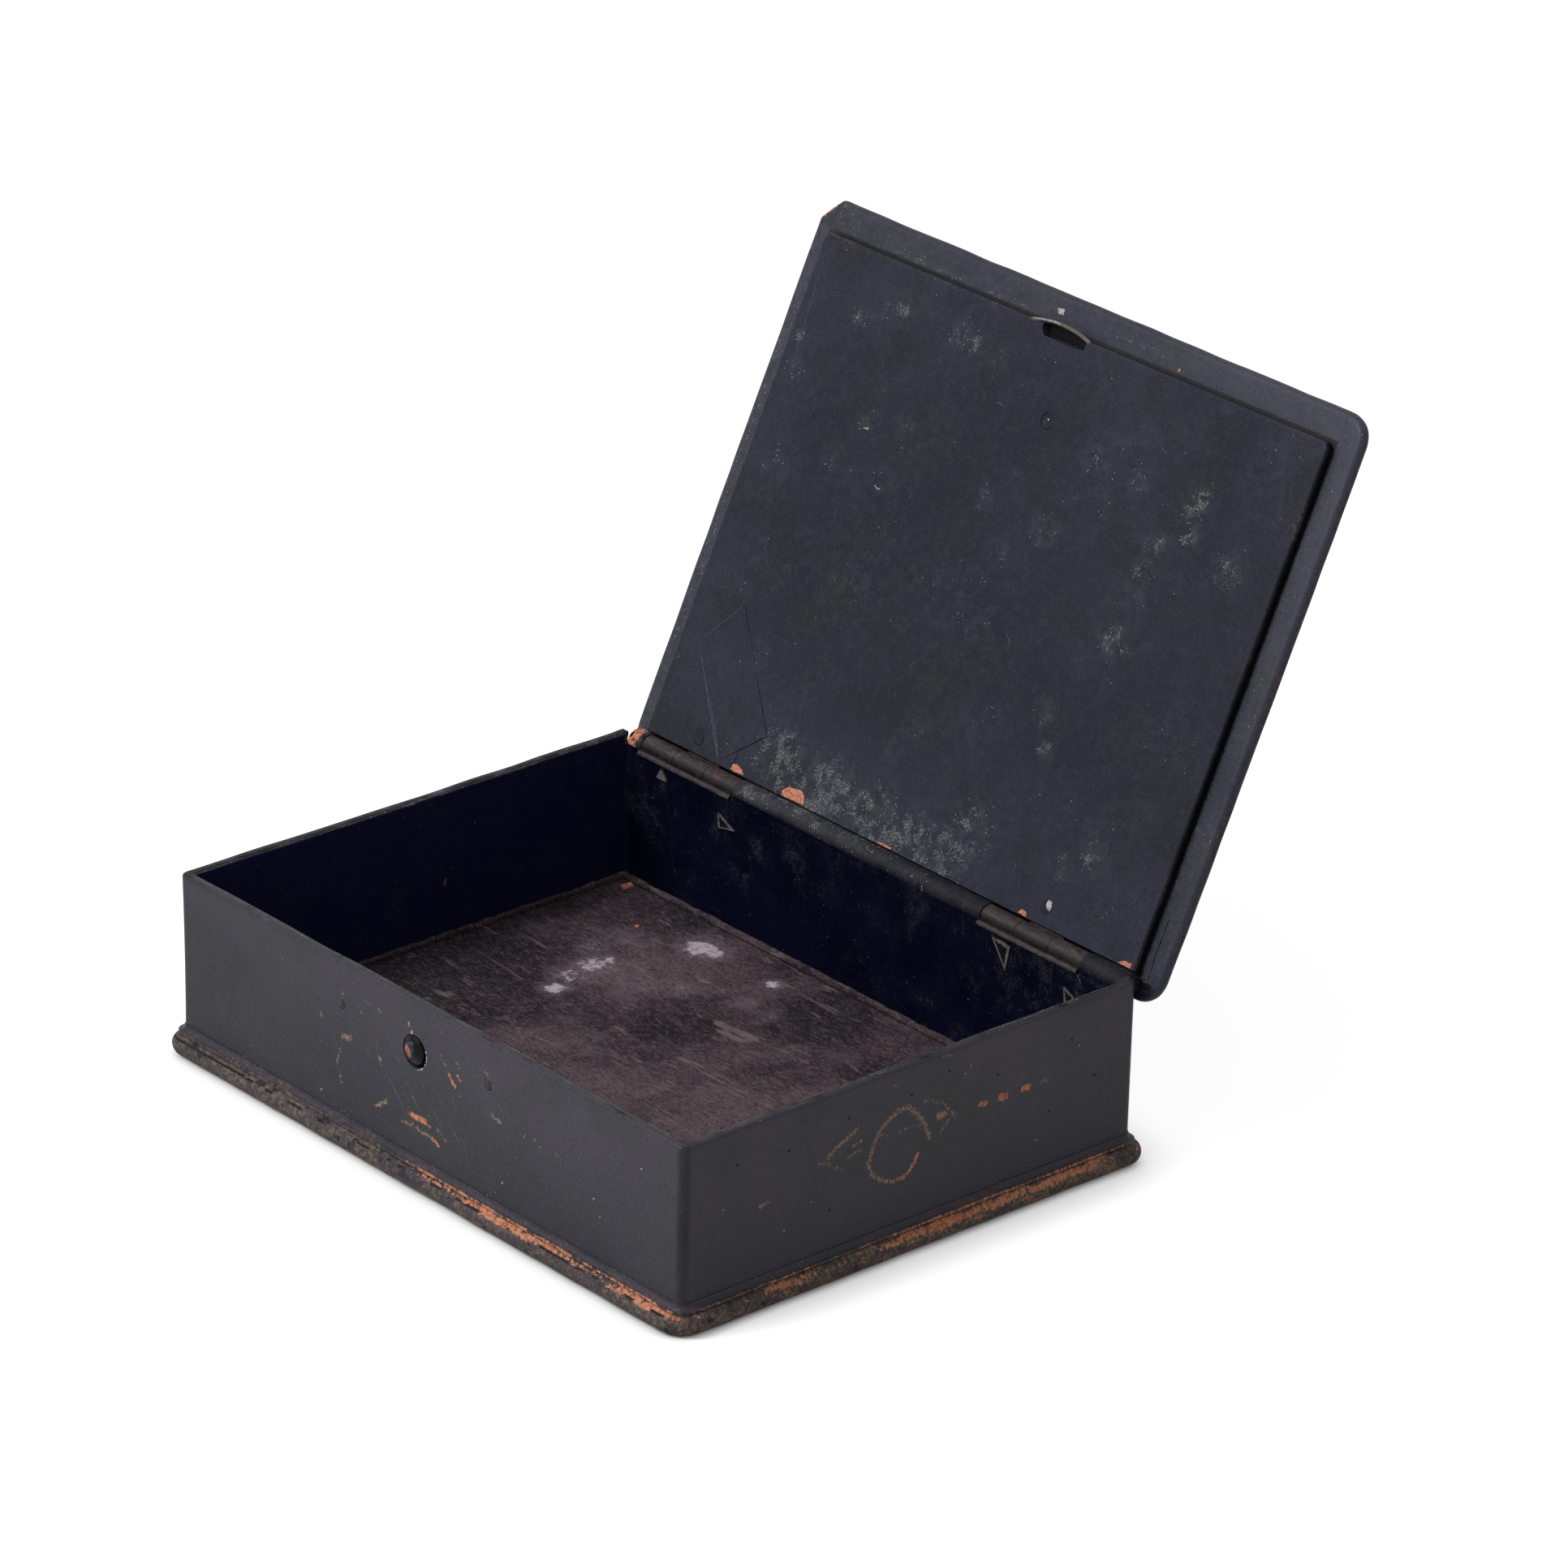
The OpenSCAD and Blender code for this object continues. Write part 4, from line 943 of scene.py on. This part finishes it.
def build_rear_lining():
    low = 7.82
    high = 33.96
    columns = run(0, 1, 1 / 150)
    rows = run(0, 1, 1 / 34)
    points = []
    for y in (LINING_FACE, LINING_FACE + 0.45):
        for v in rows:
            left = -53.3 - 5 * v
            for u in columns:
                points.append((left + u * (69.15 - left), y, low + v * (high - low)))
    nx = len(columns)
    nz = len(rows)
    i, k = np.meshgrid(np.arange(nx - 1), np.arange(nz - 1))
    a = (k * nx + i).ravel()
    faces = np.column_stack([a, a + 1, a + nx + 1, a + nx]).tolist()
    back = nx * nz
    faces += np.column_stack([a + back, a + nx + back, a + nx + 1 + back, a + 1 + back]).tolist()
    rim = list(range(nx)) + [nx * (k + 1) - 1 for k in range(1, nz)]
    rim += [nx * (nz - 1) + i for i in range(nx - 2, -1, -1)] + [nx * k for k in range(nz - 2, 0, -1)]
    faces += [[a, a + back, b + back, b] for a, b in zip(rim, rim[1:] + rim[:1])]
    lining = mesh_object("rear_paper", points, faces)
    points = places(lining.data)
    _, y, z = points.T
    sag = np.clip(ripple(points, 17, 72) + 0.4, 0, 1.2)
    points[:, 1] += 0.1 * (y < LINING_FACE + 0.1) * ease(z, 8, 12) * ease(33.9 - z, 0, 3) * sag
    points[:, 2] += 0.35 * (z < low + 0.1) * np.clip(ripple(points, 6, 73), 0, 1)
    place(lining.data, points)
    complete(lining, "box", [inner], ["rear_lining"], paint_rear)


# Rail

def paint_rail(points):
    x, _, z = points.T
    swell = ripple(points, 9, 81)
    wear = 0.72 * ease(x, -66.2, -67.2)
    wear = np.maximum(wear, 0.5 * (ripple(points, 6, 82) > 1.6))
    # Paler along the top, towards the left: dust, and a painted highlight on the rail's top.
    fade_and_painted_light = 0.95 * ease(x, 20, -30) * ease(z, 34.3, 36.2) + 0.1 * swell
    dust = 0.15 + 0.6 * ease(x, 30, -20) * ease(z, 34.5, 36.5) * (1 + 0.4 * swell)
    dirt_and_shade = 0.75 * (ripple(points, 2.6, 84) > 0.5) * (x < -66)
    return {"wear": wear, "rub_and_highlight": 0.28 + 0.1 * swell, "dust": dust, "dirt_and_shade": dirt_and_shade, "fade_and_painted_light": fade_and_painted_light}


def build_rail(name, x0, x1, node):
    """A round rail, slightly uneven, with eased ends."""
    stations = [x0, x0 + 0.02, x0 + 0.15, *run(x0 + 0.6, x1 - 0.6, 0.8), x1 - 0.15, x1 - 0.02, x1]
    full = RAIL_R - 0.02
    radii = [0.02, full - 0.16, full - 0.03, *[full] * (len(stations) - 6), full - 0.03, full - 0.16, 0.02]
    count = 40
    turn = np.arange(count) * 2 * math.pi / count
    points = []
    for x, r in zip(stations, radii):
        points += [(x, AXIS_Y + r * math.cos(a), AXIS_Z + r * math.sin(a)) for a in turn]
    faces = ring_faces(count, len(stations))
    faces += [list(range(count)), list(range(len(points) - count, len(points)))]
    rail = mesh_object(name, points, faces)
    points = places(rail.data)
    bites = (points[:, 0] < -66.2) * (ripple(points, 2.6, 84) > 1.1)
    shrink = np.minimum(1 - 0.01 * (1 + ripple(points, 7, 83)) - 0.05 * bites, 1)
    points[:, 1] = AXIS_Y + (points[:, 1] - AXIS_Y) * shrink
    points[:, 2] = AXIS_Z + (points[:, 2] - AXIS_Z) * shrink
    place(rail.data, points)
    complete(rail, "box", [rail_lacquer], [node], paint_rail)


# Lid

def lid_edge(points):
    """How far out a point of the lid lies, in millimetres from its edge, as a negative number."""
    x, y, _ = points.T
    out_x = np.abs(x - LID_MIDDLE[0]) - LID_W / 2
    out_y = np.abs(y - LID_MIDDLE[1]) - LID_D / 2
    return np.maximum(out_x, out_y)


CHIP_WAY = np.array([-0.738, -0.675])


def chip_reach(points):
    """How far a point lies beyond the sloping face of the lid's chipped corner."""
    slope = 1.26 * np.clip((points[:, 2] - LID_Z) / 1.8, 0, 1)
    return (points[:, :2] - (-72.8, -52.8)) @ CHIP_WAY - slope + 0.1 * ripple(points, 2.2, 95)


def paint_lid(points):
    x, y, z = points.T
    below = z < LID_Z + 0.3
    top = z > LID_Z + 1.6
    swell = ripple(points, 16, 91)
    out = lid_edge(points)
    edge = ease(out, -1.3, -0.2)
    line_x = 69.6
    line_y = -51.4
    seam = np.minimum(np.abs(np.abs(x) - line_x), np.abs(y - line_y))
    dust = 0.2 + 0.15 * swell
    dust = np.maximum(dust, below * (0.5 * ease(x, -69, -71) + 0.45 * ease(x, 70, 71.5) * ease(y, -30, -45)))
    smears = [(0.5, 1, [(-57, -51.6), (-40, -51.9), (-12, -51.7)]), (0.6, 0.8, [(5, -53.5), (24, -53.8)])]
    dust = np.maximum(dust, below * 0.8 * strokes(points[:, :2], smears, 1.5))
    rub_and_highlight = 0.25 * edge * (1 + 0.5 * swell) + 0.35 * ease(out, -0.6, 0)
    wear = 0.9 * ease(chip_reach(points), -0.25, -0.05) * ease(y, -56.4, -55.2)
    wear = np.maximum(wear, np.where(top, 0.55 * edge * ease(ripple(points, 9, 92), 0.2, 1.4), 0))
    # Painted shade: a dark line on the lid along the foot of the panel's edges, black under the panel, and
    # darker in the rear hollow.
    dirt_and_shade = np.where(below, 0.5 * ease(seam, 0.6, 0.2), 0)
    dirt_and_shade = np.where(below & (np.abs(x) < 69.3) & (y > -51.2), 0.7, dirt_and_shade)
    dirt_and_shade = np.maximum(dirt_and_shade, np.where(y > 53.2, 0.55 * below, 0))
    fade_and_painted_light = 0.55 + 0.3 * ease(x, 0, 70) * ease(y, 0, -50) + 0.12 * swell - 0.4 * ease(y, -20, 45)
    fade_and_painted_light -= 0.4 * ease(y, -50, -52) * ease(x, 40, 0)
    fade_and_painted_light = np.where(top, 0.45 + 0.3 * ripple(points, 40, 96), fade_and_painted_light)
    dust = np.where(top, 0.4 + 0.22 * ripple(points, 25, 97), dust)
    rub_and_highlight = np.where(top, rub_and_highlight + 0.2 * edge * (1 + swell), rub_and_highlight)
    return {"dust": dust, "rub_and_highlight": rub_and_highlight, "wear": wear, "dirt_and_shade": dirt_and_shade, "fade_and_painted_light": fade_and_painted_light}


def build_lid():
    r = LID_T / 2
    middle = LID_D / 2 - 0.01
    profile = [(middle, LID_Z)] + [(i, LID_Z) for i in run(LID_D / 2 - 4, 12, 8)]
    profile += [(i, LID_Z) for i in run(9, r + 0.5, 0.7)]
    profile += arc(r, LID_Z + r, r, 270, 90, 13)
    profile += [(i, LID_Z + LID_T) for i in run(r + 0.6, LID_D / 2 - 1, 1.6)] + [(middle, LID_Z + LID_T)]
    lid = sweep("lid", LID_W, LID_D, 5.5, profile, (88, 112, 88, 112), corner_steps=12, middle=LID_MIDDLE)
    hollow = arc(AXIS_Y, AXIS_Z, HOLLOW_R, 90, 180, 20)
    hollow = [(60, AXIS_Z), (60, AXIS_Z + HOLLOW_R), *hollow]
    carve(lid, [prism(hollow, -HOLLOW_END, HOLLOW_END, "x")])
    points = places(lid.data)
    out = lid_edge(points)
    x, y, _ = points.T
    pull = -0.06 * ease(out, -1.4, -0.2) * np.maximum(1 + ripple(points, 13, 94), 0)
    points[:, 0] += pull * np.sign(x) * (np.abs(x) > 72.6)
    points[:, 1] += pull * np.sign(y) * (y < -55.6)
    points[:, :2] -= np.maximum(chip_reach(points), 0)[:, None] * CHIP_WAY
    place(lid.data, points)
    complete(lid, "lid", [border, outer], ["lid_board"], paint_lid,
             lambda centres: centres[:, 2] > LID_Z + 1.4)


# Dusty places on the raised panel: x, y of the closed lid, radius and strength
PANEL_DUST = [
    (-18, 48, 14, 1.2), (-5, 49, 13, 1.2), (6, 50, 12, 1.2), (16, 48, 11, 1.1), (20, 42, 10, 0.9),
    (-32, 46, 12, 1.0), (27, 16, 5, 0.9), (30, 22, 4, 0.7), (50, 36, 8, 0.7), (44, 40, 7, 0.5),
    (17, -31, 8, 0.6), (29, -31, 6, 0.7), (44, -31, 7, 0.8), (45, -25, 6, 0.75), (57, -22, 7, 0.7),
    (38, -21, 7, 0.6), (37, -14, 7, 0.7), (37, -1, 8, 0.7), (11, -15, 7, 0.6), (-6, -16, 6, 0.5),
    (2, -8, 6, 0.5), (-25, -44, 5, 0.55), (-15, -41, 5, 0.6), (-27, -42, 6, 0.6), (-21, -42, 5, 0.6),
    (-42, -42, 5, 0.65), (-52, -38, 6, 0.55), (-41, -20, 6, 0.5), (-31, -22, 6, 0.5), (-47, -12, 6, 0.5),
    (-31, -11, 5, 0.5), (-66, -30, 5, 0.6), (-64, -24, 5, 0.6), (-30, 10, 20, 0.35), (0, 5, 24, 0.3),
    (-60, -5, 12, 0.35), (60, 10, 14, 0.3), (-55, 12, 8, 0.4),
]


def paint_panel(points):
    x, y, z = points.T
    flat = points[:, :2]
    swell = ripple(points, 18, 101)
    side = np.minimum(PANEL_W / 2 - np.abs(x), np.minimum(y - PANEL_FRONT, PANEL_REAR - y))
    dust = 0.13 + 0.1 * swell + 0.08 * ripple(points, 7, 102)
    dust = np.maximum(dust, spots(flat, PANEL_DUST) * (1.1 + 0.3 * ripple(points, 5, 103)))
    dust = dust + 0.25 * strokes(flat, [(0.6, 1, [(-57.6, -50.4), (-49, -50.4), (-20, -50.4)])], 1.5)
    rub_and_highlight = 0.42 * ease(side, 0.8, 0.2) * (1 + 0.4 * swell)
    # Painted shade: the panel's edges darker towards the lid board.
    dirt_and_shade = 0.9 * ease(z, PANEL_Z + 0.5, PANEL_Z + 1.2) * (side < 0.5)
    fade_and_painted_light = 0.24 + 0.16 * ripple(points, 45, 104) + 0.45 * ease(x, -50, -66) + 0.6 * ease(y, 12, 50)
    fade_and_painted_light += 0.25 * ease(y, -30, -48) + 0.2 * ease(x, 45, 62)
    return {"dust": dust, "rub_and_highlight": rub_and_highlight, "dirt_and_shade": dirt_and_shade, "fade_and_painted_light": fade_and_painted_light}


def build_panel():
    d = PANEL_REAR - PANEL_FRONT
    y0 = (PANEL_REAR + PANEL_FRONT) / 2
    e = 0.4
    top = PANEL_Z + 1.96
    profile = [(d / 2 - 0.01, top), (30, top), (4, top), (0, top)]
    profile += [(0, z) for z in run(top, PANEL_Z + e, 0.5)[1:]]
    profile += arc(e, PANEL_Z + e, e, 180, 270, 5)[1:]
    profile += [(i, PANEL_Z) for i in run(e + 0.5, d / 2 - 0.7, 0.85)] + [(d / 2 - 0.01, PANEL_Z)]
    panel = sweep("panel", PANEL_W, d, 1.6, profile, (122, 160, 122, 160), middle=(0, y0))
    hollow = arc(AXIS_Y, AXIS_Z, HOLLOW_R, 90, 243, 28)
    hollow = [(60, AXIS_Z - 3), (60, AXIS_Z + HOLLOW_R), *hollow]
    notch = [(-7.3, PANEL_FRONT - 1), (4.7, PANEL_FRONT - 1), (4.85, -48.6), (2.0, -48.35), (-5.9, -48.5),
             (-7.0, -49.6)]
    carve(panel, [prism(hollow, -80, 80, "x"), prism(notch, PANEL_Z - 1, top + 1, "z")])
    points = places(panel.data)
    x, y, z = points.T
    face = z < PANEL_Z + 0.05
    away = np.minimum(PANEL_W / 2 - np.abs(x), np.minimum(y - PANEL_FRONT, PANEL_REAR - y))
    points[:, 2] += face * ease(away, 1, 8) * 0.05 * np.maximum(1 + ripple(points, 30, 104), 0)
    points[:, 2] += face * 0.25 * ease(np.hypot(x - 2.3, y + 34.0), 1.5, 0.2)
    place(panel.data, points)
    complete(panel, "lid", [under], ["lid_panel"], paint_panel)


# Catch spring

def slice_across(work, x, way, **options):
    """Cuts a mesh by a plane across the x axis."""
    bmesh.ops.bisect_plane(work, geom=work.verts[:] + work.edges[:] + work.faces[:], plane_co=(x * MM, 0, 0),
                           plane_no=(way, 0, 0), **options)


def build_spring():
    """The flat spring, in two halves split at the button, each sliced across from its pin to its pad, the
    stretch where the real spring bends when the button is pressed.
    """
    flat = nodes["leaf_spring"].data
    faces = [tuple(face.vertices) for face in flat.polygons]
    for side, way, pin, pad in (("left", 1, -22.0, -7.8), ("right", -1, 16.8, 2.6)):
        half = mesh_object("spring_" + side, places(flat), faces)
        work = bmesh.new()
        work.from_mesh(half.data)
        for x in run(pin, pad, 1.2):
            slice_across(work, x, 1)
        slice_across(work, BUTTON[0], way, clear_outer=True)
        bmesh.ops.holes_fill(work, edges=[edge for edge in work.edges if edge.is_boundary], sides=0)
        work.to_mesh(half.data)
        work.free()
        half.data.materials.append(steel_finish)
        half.data.shade_smooth()
        half.data.set_sharp_from_angle(angle=SHARP)
        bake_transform(half)
        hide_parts("leaf_spring")


# Small marks with sharp edges

def mark_lid():
    """The marks on the raised panel, on the lid round it and on the keeper bar."""
    panel = ("z", PANEL_Z + 0.02, -1)
    round_it = ("z", LID_Z, -1)
    patch = [(-55.1, 21.7), (-37.8, 42.9), (-47.7, 51.3), (-63.35, 32.0)]
    threads("lid_cracks", "lid", crack_and_shade_black, [
        (*panel, 0.075, patch[:2]), (*panel, 0.075, patch[1:3]),
        (*panel, 0.13, arc(-54.4, 49.2, 1.15, -80, 150, 12)),
        (*panel, 0.09, [(-43.6, 47.9), (-43.4, 49.5), (-43.7, 50.8)]),
        (*panel, 0.08, arc(2.3, -34.0, 1.6, 20, 250, 12)),
        (*round_it, 0.12, [(70.9, 40), (70.8, 48), (71.2, 53)]),
    ])
    threads("lid_threads", "lid", grey_thread_and_highlight, [
        (*panel, 0.05, patch[2:]), (*panel, 0.045, [patch[3], patch[0]]),
        (*panel, 0.05, [(-55.0, 41.6), (-51.5, 45.8), (-47.9, 50.6)]),
        (*panel, 0.06, [(-40.1, 37.2), (-39.2, 37.6), (-38.8, 38.4)]),
        (*panel, 0.06, [(-12.1, -33.1), (-10.7, -33.5), (-9.1, -33.2)]),
        (*panel, 0.05, [(-24.5, -9.4), (-23.6, -11.6)]),
        (*panel, 0.05, [(-8.3, 20.4), (-8.9, 18.6), (-8.0, 17.1)]),
        (*panel, 0.05, [(10.5, 5.2), (12.3, 6.5), (12.8, 8.1)]),
        (*panel, 0.05, [(31.0, -38.0), (33.2, -37.1)]),
        (*panel, 0.045, [(-66.9, -45.9), (-65.9, -35.0), (-65.1, -26.0)]),
    ])
    threads("keeper_edge", "lid", pale_chips, [
        ("z", PANEL_Z, -1, 0.1, [(-10.3, -50.65), (-8.2, -51.12), (-5.0, -51.57), (-2.6, -51.67)]),
    ], lift=0.02)
    flakes("lid_flakes", "lid", bare_board, [
        (*panel, [(-29.0, 51.7), (-29.1, 50.8), (-27.7, 49.7), (-26.4, 49.6), (-24.4, 49.3), (-23.2, 50.1),
                  (-22.7, 51.6), (-24.3, 51.7), (-25.8, 51.7), (-27.6, 51.8)]),
        (*panel, [(-43.8, 51.5), (-43.5, 50.5), (-42.5, 50.3), (-40.7, 50.9), (-40.1, 51.6), (-41.6, 51.7),
                  (-42.9, 51.8)]),
        (*panel, [(-1.8, 51.7), (-0.5, 51.4), (2.5, 51.5), (2.3, 51.8), (-0.6, 51.8)]),
        (*panel, [(37.6, 51.7), (38.3, 50.8), (39.6, 51.0), (39.9, 51.8)]),
        (*panel, [(64.5, 51.8), (65.8, 51.0), (67.8, 50.9), (67.9, 51.8)]),
        (*round_it, [(26.7, -52.4), (27.2, -52.5), (27.4, -52.0), (26.9, -51.8)]),
    ])
    flakes("lid_chips", "lid", pale_chips, [
        (*panel, [(43.6, 47.1), (44.5, 47.1), (45.0, 48.1), (44.8, 49.1), (43.9, 48.8), (43.4, 47.9)]),
        (*panel, [(2.0, -34.5), (2.7, -34.4), (2.5, -34.0)]),
        (*panel, [(-41.8, -18.6), (-40.4, -19.3), (-40.0, -18.8)]),
        (*panel, [(-33.8, -9.6), (-32.1, -9.4), (-32.4, -9.0)]),
        (*round_it, [(-6.9, -54.1), (-5.0, -54.3), (-4.8, -53.2), (-6.2, -53.1)]),
    ], lift=0.03, seed=2)
    # A thin black sheet on the lid board, inside the panel's notch.
    notch = [(-7.25, -50.9), (-6.0, -48.7), (2.0, -48.55), (4.7, -48.8), (4.6, -50.9)]
    flakes("notch_black_sheet", "lid", crack_and_shade_black, [(*round_it, notch)], lift=0.02, seed=3)


def mark_box():
    """The marks on the hinges' prongs, the linings, the walls and the rim, with painted shade in the prongs'
    dents, painted highlight and shade arcs round the spring pins, and painted highlights along the rim.
    """
    front = ("y", FRONT, -1)
    right = ("x", HALF_W, 1)
    rim = ("z", RIM_Z - 0.07, 1)
    # Painted shade: a thin black sheet in the middle of each prong, for the shade in its dent.
    inset = []
    for corners in ([(-41.6, 30.3), (-41.3, 27.3), (-36.8, 28.1)], [(35.9, 33.5), (41.0, 32.8), (40.0, 27.6)],
                    [(55.7, 30.3), (56.0, 27.3), (60.5, 28.1)]):
        middle = np.mean(corners, axis=0)
        inset.append(("y", PRONG_FACE, -1, middle + (np.array(corners) - middle) * 0.68))
    flakes("prong_dent_shade", "box", crack_and_shade_black, inset, lift=0.02, seed=4)
    flakes("floor_flakes", "box", bare_board, [
        ("z", 6.8, 1, [(-65.9, 47.8), (-65.7, 50.4), (-64.0, 49.8), (-64.2, 47.3)]),
        ("z", 6.82, 1, [(-50.2, 38.1), (-49.2, 38.4), (-49.5, 38.9)]),
    ], lift=0.35, seed=6)
    low_edge = arc(*BUTTON, BUTTON_R + 0.12, -75, 22, 14)
    scratches_and_pin_highlights = [(*front, 0.05, line) for line in FRONT_SCRATCHES]
    pits_and_pin_shade = []
    # Round each spring pin: a painted highlight arc on the upper right, with the scratches, and a painted
    # shade arc on the lower left, with the pits.
    for x in (-23.7, 18.5):
        scratches_and_pin_highlights.append((*front, 0.09, arc(x, 28.6, 1.1, -30, 120, 10)))
        pits_and_pin_shade.append((*front, 0.14, arc(x, 28.6, 1.05, 130, 320, 10)))
    threads("wall_threads_and_pin_highlights", "box", grey_thread_and_highlight, scratches_and_pin_highlights)
    for y, z in ((-1, 31), (8, 33), (-16, 31), (20, 28.5), (38, 30), (-30, 29), (33, 17), (-42, 30), (44, 21),
                 (-20, 14)):
        pits_and_pin_shade.append((*right, 0.22, [(y, z), (y + 0.4, z - 0.25)]))
    threads("wall_pits_and_pin_shade", "box", crack_and_shade_black, pits_and_pin_shade, lift=0.02)
    threads("lining_tear", "box", grey_thread_and_highlight,
            [("y", LINING_FACE - 0.02, -1, 0.1, [(58.7, 33.9), (59.4, 33.3), (59.9, 32.5)])])
    dots = [(*front, 0.14, low_edge[k:k + 2]) for k in (0, 2, 3, 6, 8, 9, 10, 12)]
    dots += [(*front, 0.26, [(-3.6, 30.2), (-3.2, 30.9)]), (*front, 0.12, [(-4.2, 31.4), (-4.4, 32.2)])]
    for x, z in ((47.8, 17.5), (49.6, 14.6), (60.6, 28.6), (-30, 8.6), (22.4, 10.4), (-43, 30.6)):
        dots.append((*front, 0.16, [(x, z), (x + 0.35, z + 0.1)]))
    for y, z in ((-30.6, 13.2), (-24.4, 16.9), (12, 31), (30, 12), (-45, 22), (40, 28)):
        dots.append((*right, 0.15, [(y, z), (y + 0.35, z + 0.1)]))
    threads("wall_chips", "box", pale_chips, dots, lift=0.02)
    # Painted highlights: pale thread segments along the top of the front and right rims.
    rim_highlights = []
    for x0, x1, y in ((-52, -44, -53.0), (-38, -35, -53.5), (-20, -9, -52.9), (9, 13, -53.4), (19, 30, -52.8),
                      (38, 41, -53.6), (46, 57, -53.1), (62, 67, -52.9)):
        rim_highlights.append((*rim, 0.09, [(x0, y), ((x0 + x1) / 2, y + 0.12), (x1, y - 0.05)]))
    for y0, y1, x in ((-46, -38, 70.8), (-30, -20, 70.5), (-9, -2, 71.1), (12, 17, 70.6), (24, 33, 70.9),
                      (40, 46, 70.5)):
        rim_highlights.append((*rim, 0.09, [(x, y0), (x + 0.1, (y0 + y1) / 2), (x, y1)]))
    threads("rim_highlight_threads", "box", grey_thread_and_highlight, rim_highlights, lift=0.06)


build_walls()
build_base()
build_plinth()
build_floor()
build_rear_lining()
for stretch, x0, x1 in (("left", -69.76, -65.95), ("middle", -38.65, 31.35), ("right", 58.65, 69.76)):
    build_rail("rail_" + stretch, x0, x1, "rear_rail_" + stretch)
build_lid()
build_panel()
build_spring()
mark_lid()
mark_box()

# The CAD nodes that keep their shape
for name, finish in (
    ("left_hinge_case_leaf", hinge_finish), ("right_hinge_case_leaf", hinge_finish),
    ("left_hinge_lid_leaf", hinge_finish), ("right_hinge_lid_leaf", hinge_finish),
    ("left_hinge_pin", steel_finish), ("right_hinge_pin", steel_finish), ("lid_leaf_rivets", under),
    ("keeper_bar", steel_finish), ("push_button", button_black), ("catch_hook", hook_finish),
    ("spring_pins", pin_finish),
):
    nodes[name].data.materials.clear()
    nodes[name].data.materials.append(finish)


# Camera, floor and light

LENS = 186.19
AZIMUTH = math.radians(48.29)
ELEVATION = math.radians(24.45)
ROLL = math.radians(1.47)
LOOK_AT = Vector((0.01423, 0.01832, 0.0656))
CAMERA_AWAY = 1.4804
WORLD_LIGHT = 0.42
FLOOR_TONE = (0.45, 0.45, 0.45)
FLOOR_GLOW = 0.85
CONTACT_REACH = 0.014
LAMP_AT = Vector((-0.45, -1.15, 1.3))
LAMP_AIM = Vector((0, 0, 0.04))
LAMP_SIZE = 0.9
LAMP_POWER = 27

camera_data = bpy.data.cameras.new("camera")
camera_data.lens = LENS
camera_data.sensor_width = 36
camera_data.sensor_fit = "HORIZONTAL"
camera_data.clip_start = 0.05
camera = new_object("camera", camera_data)
back = Vector((math.sin(AZIMUTH) * math.cos(ELEVATION), -math.cos(AZIMUTH) * math.cos(ELEVATION),
               math.sin(ELEVATION)))
level = Vector((math.cos(AZIMUTH), math.sin(AZIMUTH), 0))
upward = back.cross(level)
right = level * math.cos(ROLL) + upward * math.sin(ROLL)
upright = upward * math.cos(ROLL) - level * math.sin(ROLL)
stand = Matrix((right, upright, back)).transposed().to_4x4()
stand.translation = LOOK_AT + back * CAMERA_AWAY
camera.matrix_world = stand
bpy.context.scene.camera = camera


def shown_strength(tree, hidden, shown):
    """Strength for camera, transmission and glossy rays, and another for the rays that light things."""
    total = wire(tree, "ShaderNodeLightPath", {}, "Is Camera Ray")
    rays = total.node.outputs
    for kind in ("Is Transmission Ray", "Is Glossy Ray"):
        total = wire(tree, "ShaderNodeMath", {0: total, 1: rays[kind]}, operation="MAXIMUM")
    return wire(tree, "ShaderNodeMapRange", {"Value": total, "To Min": hidden, "To Max": shown}, "Result")


world = bpy.data.worlds.new("studio")
bpy.context.scene.world = world
world.use_nodes = True
sky = world.node_tree.nodes["Background"]
put(sky.inputs["Color"], (1, 1, 1))
put(sky.inputs["Strength"], shown_strength(world.node_tree, WORLD_LIGHT, 1.0))

floor_mesh = bpy.data.meshes.new("studio_floor")
floor_mesh.from_pydata([(-4, -4, 0), (4, -4, 0), (4, 4, 0), (-4, 4, 0)], [], [(0, 1, 2, 3)])
studio_floor = new_object("studio_floor", floor_mesh)
studio_floor.location.z = -0.0002
ground = bpy.data.materials.new("studio_floor")
ground.use_nodes = True
tree = ground.node_tree
tree.nodes.clear()
matte = wire(tree, "ShaderNodeBsdfDiffuse", {"Color": FLOOR_TONE})
# Painted contact shadow: the floor's glow, which camera, glossy and transmission rays see, is darkened by
# ambient occlusion near the box.
contact = wire(tree, "ShaderNodeAmbientOcclusion", {"Distance": CONTACT_REACH}, "AO", samples=8)
bright = shown_strength(tree, 0.0, FLOOR_GLOW)
shade = wire(tree, "ShaderNodeMath", {0: contact, 1: bright}, operation="MULTIPLY")
glow = wire(tree, "ShaderNodeEmission", {"Strength": shade})
both = wire(tree, "ShaderNodeAddShader", {0: matte, 1: glow})
put(tree.nodes.new("ShaderNodeOutputMaterial").inputs["Surface"], both)
floor_mesh.materials.append(ground)

lamp = bpy.data.lights.new("key", "AREA")
lamp.shape = "DISK"
lamp.size = LAMP_SIZE
lamp.energy = LAMP_POWER
key = new_object("key", lamp)
key.location = LAMP_AT
key.rotation_euler = (LAMP_AIM - LAMP_AT).to_track_quat("-Z", "Y").to_euler()

bpy.context.scene.view_settings.view_transform = "Standard"
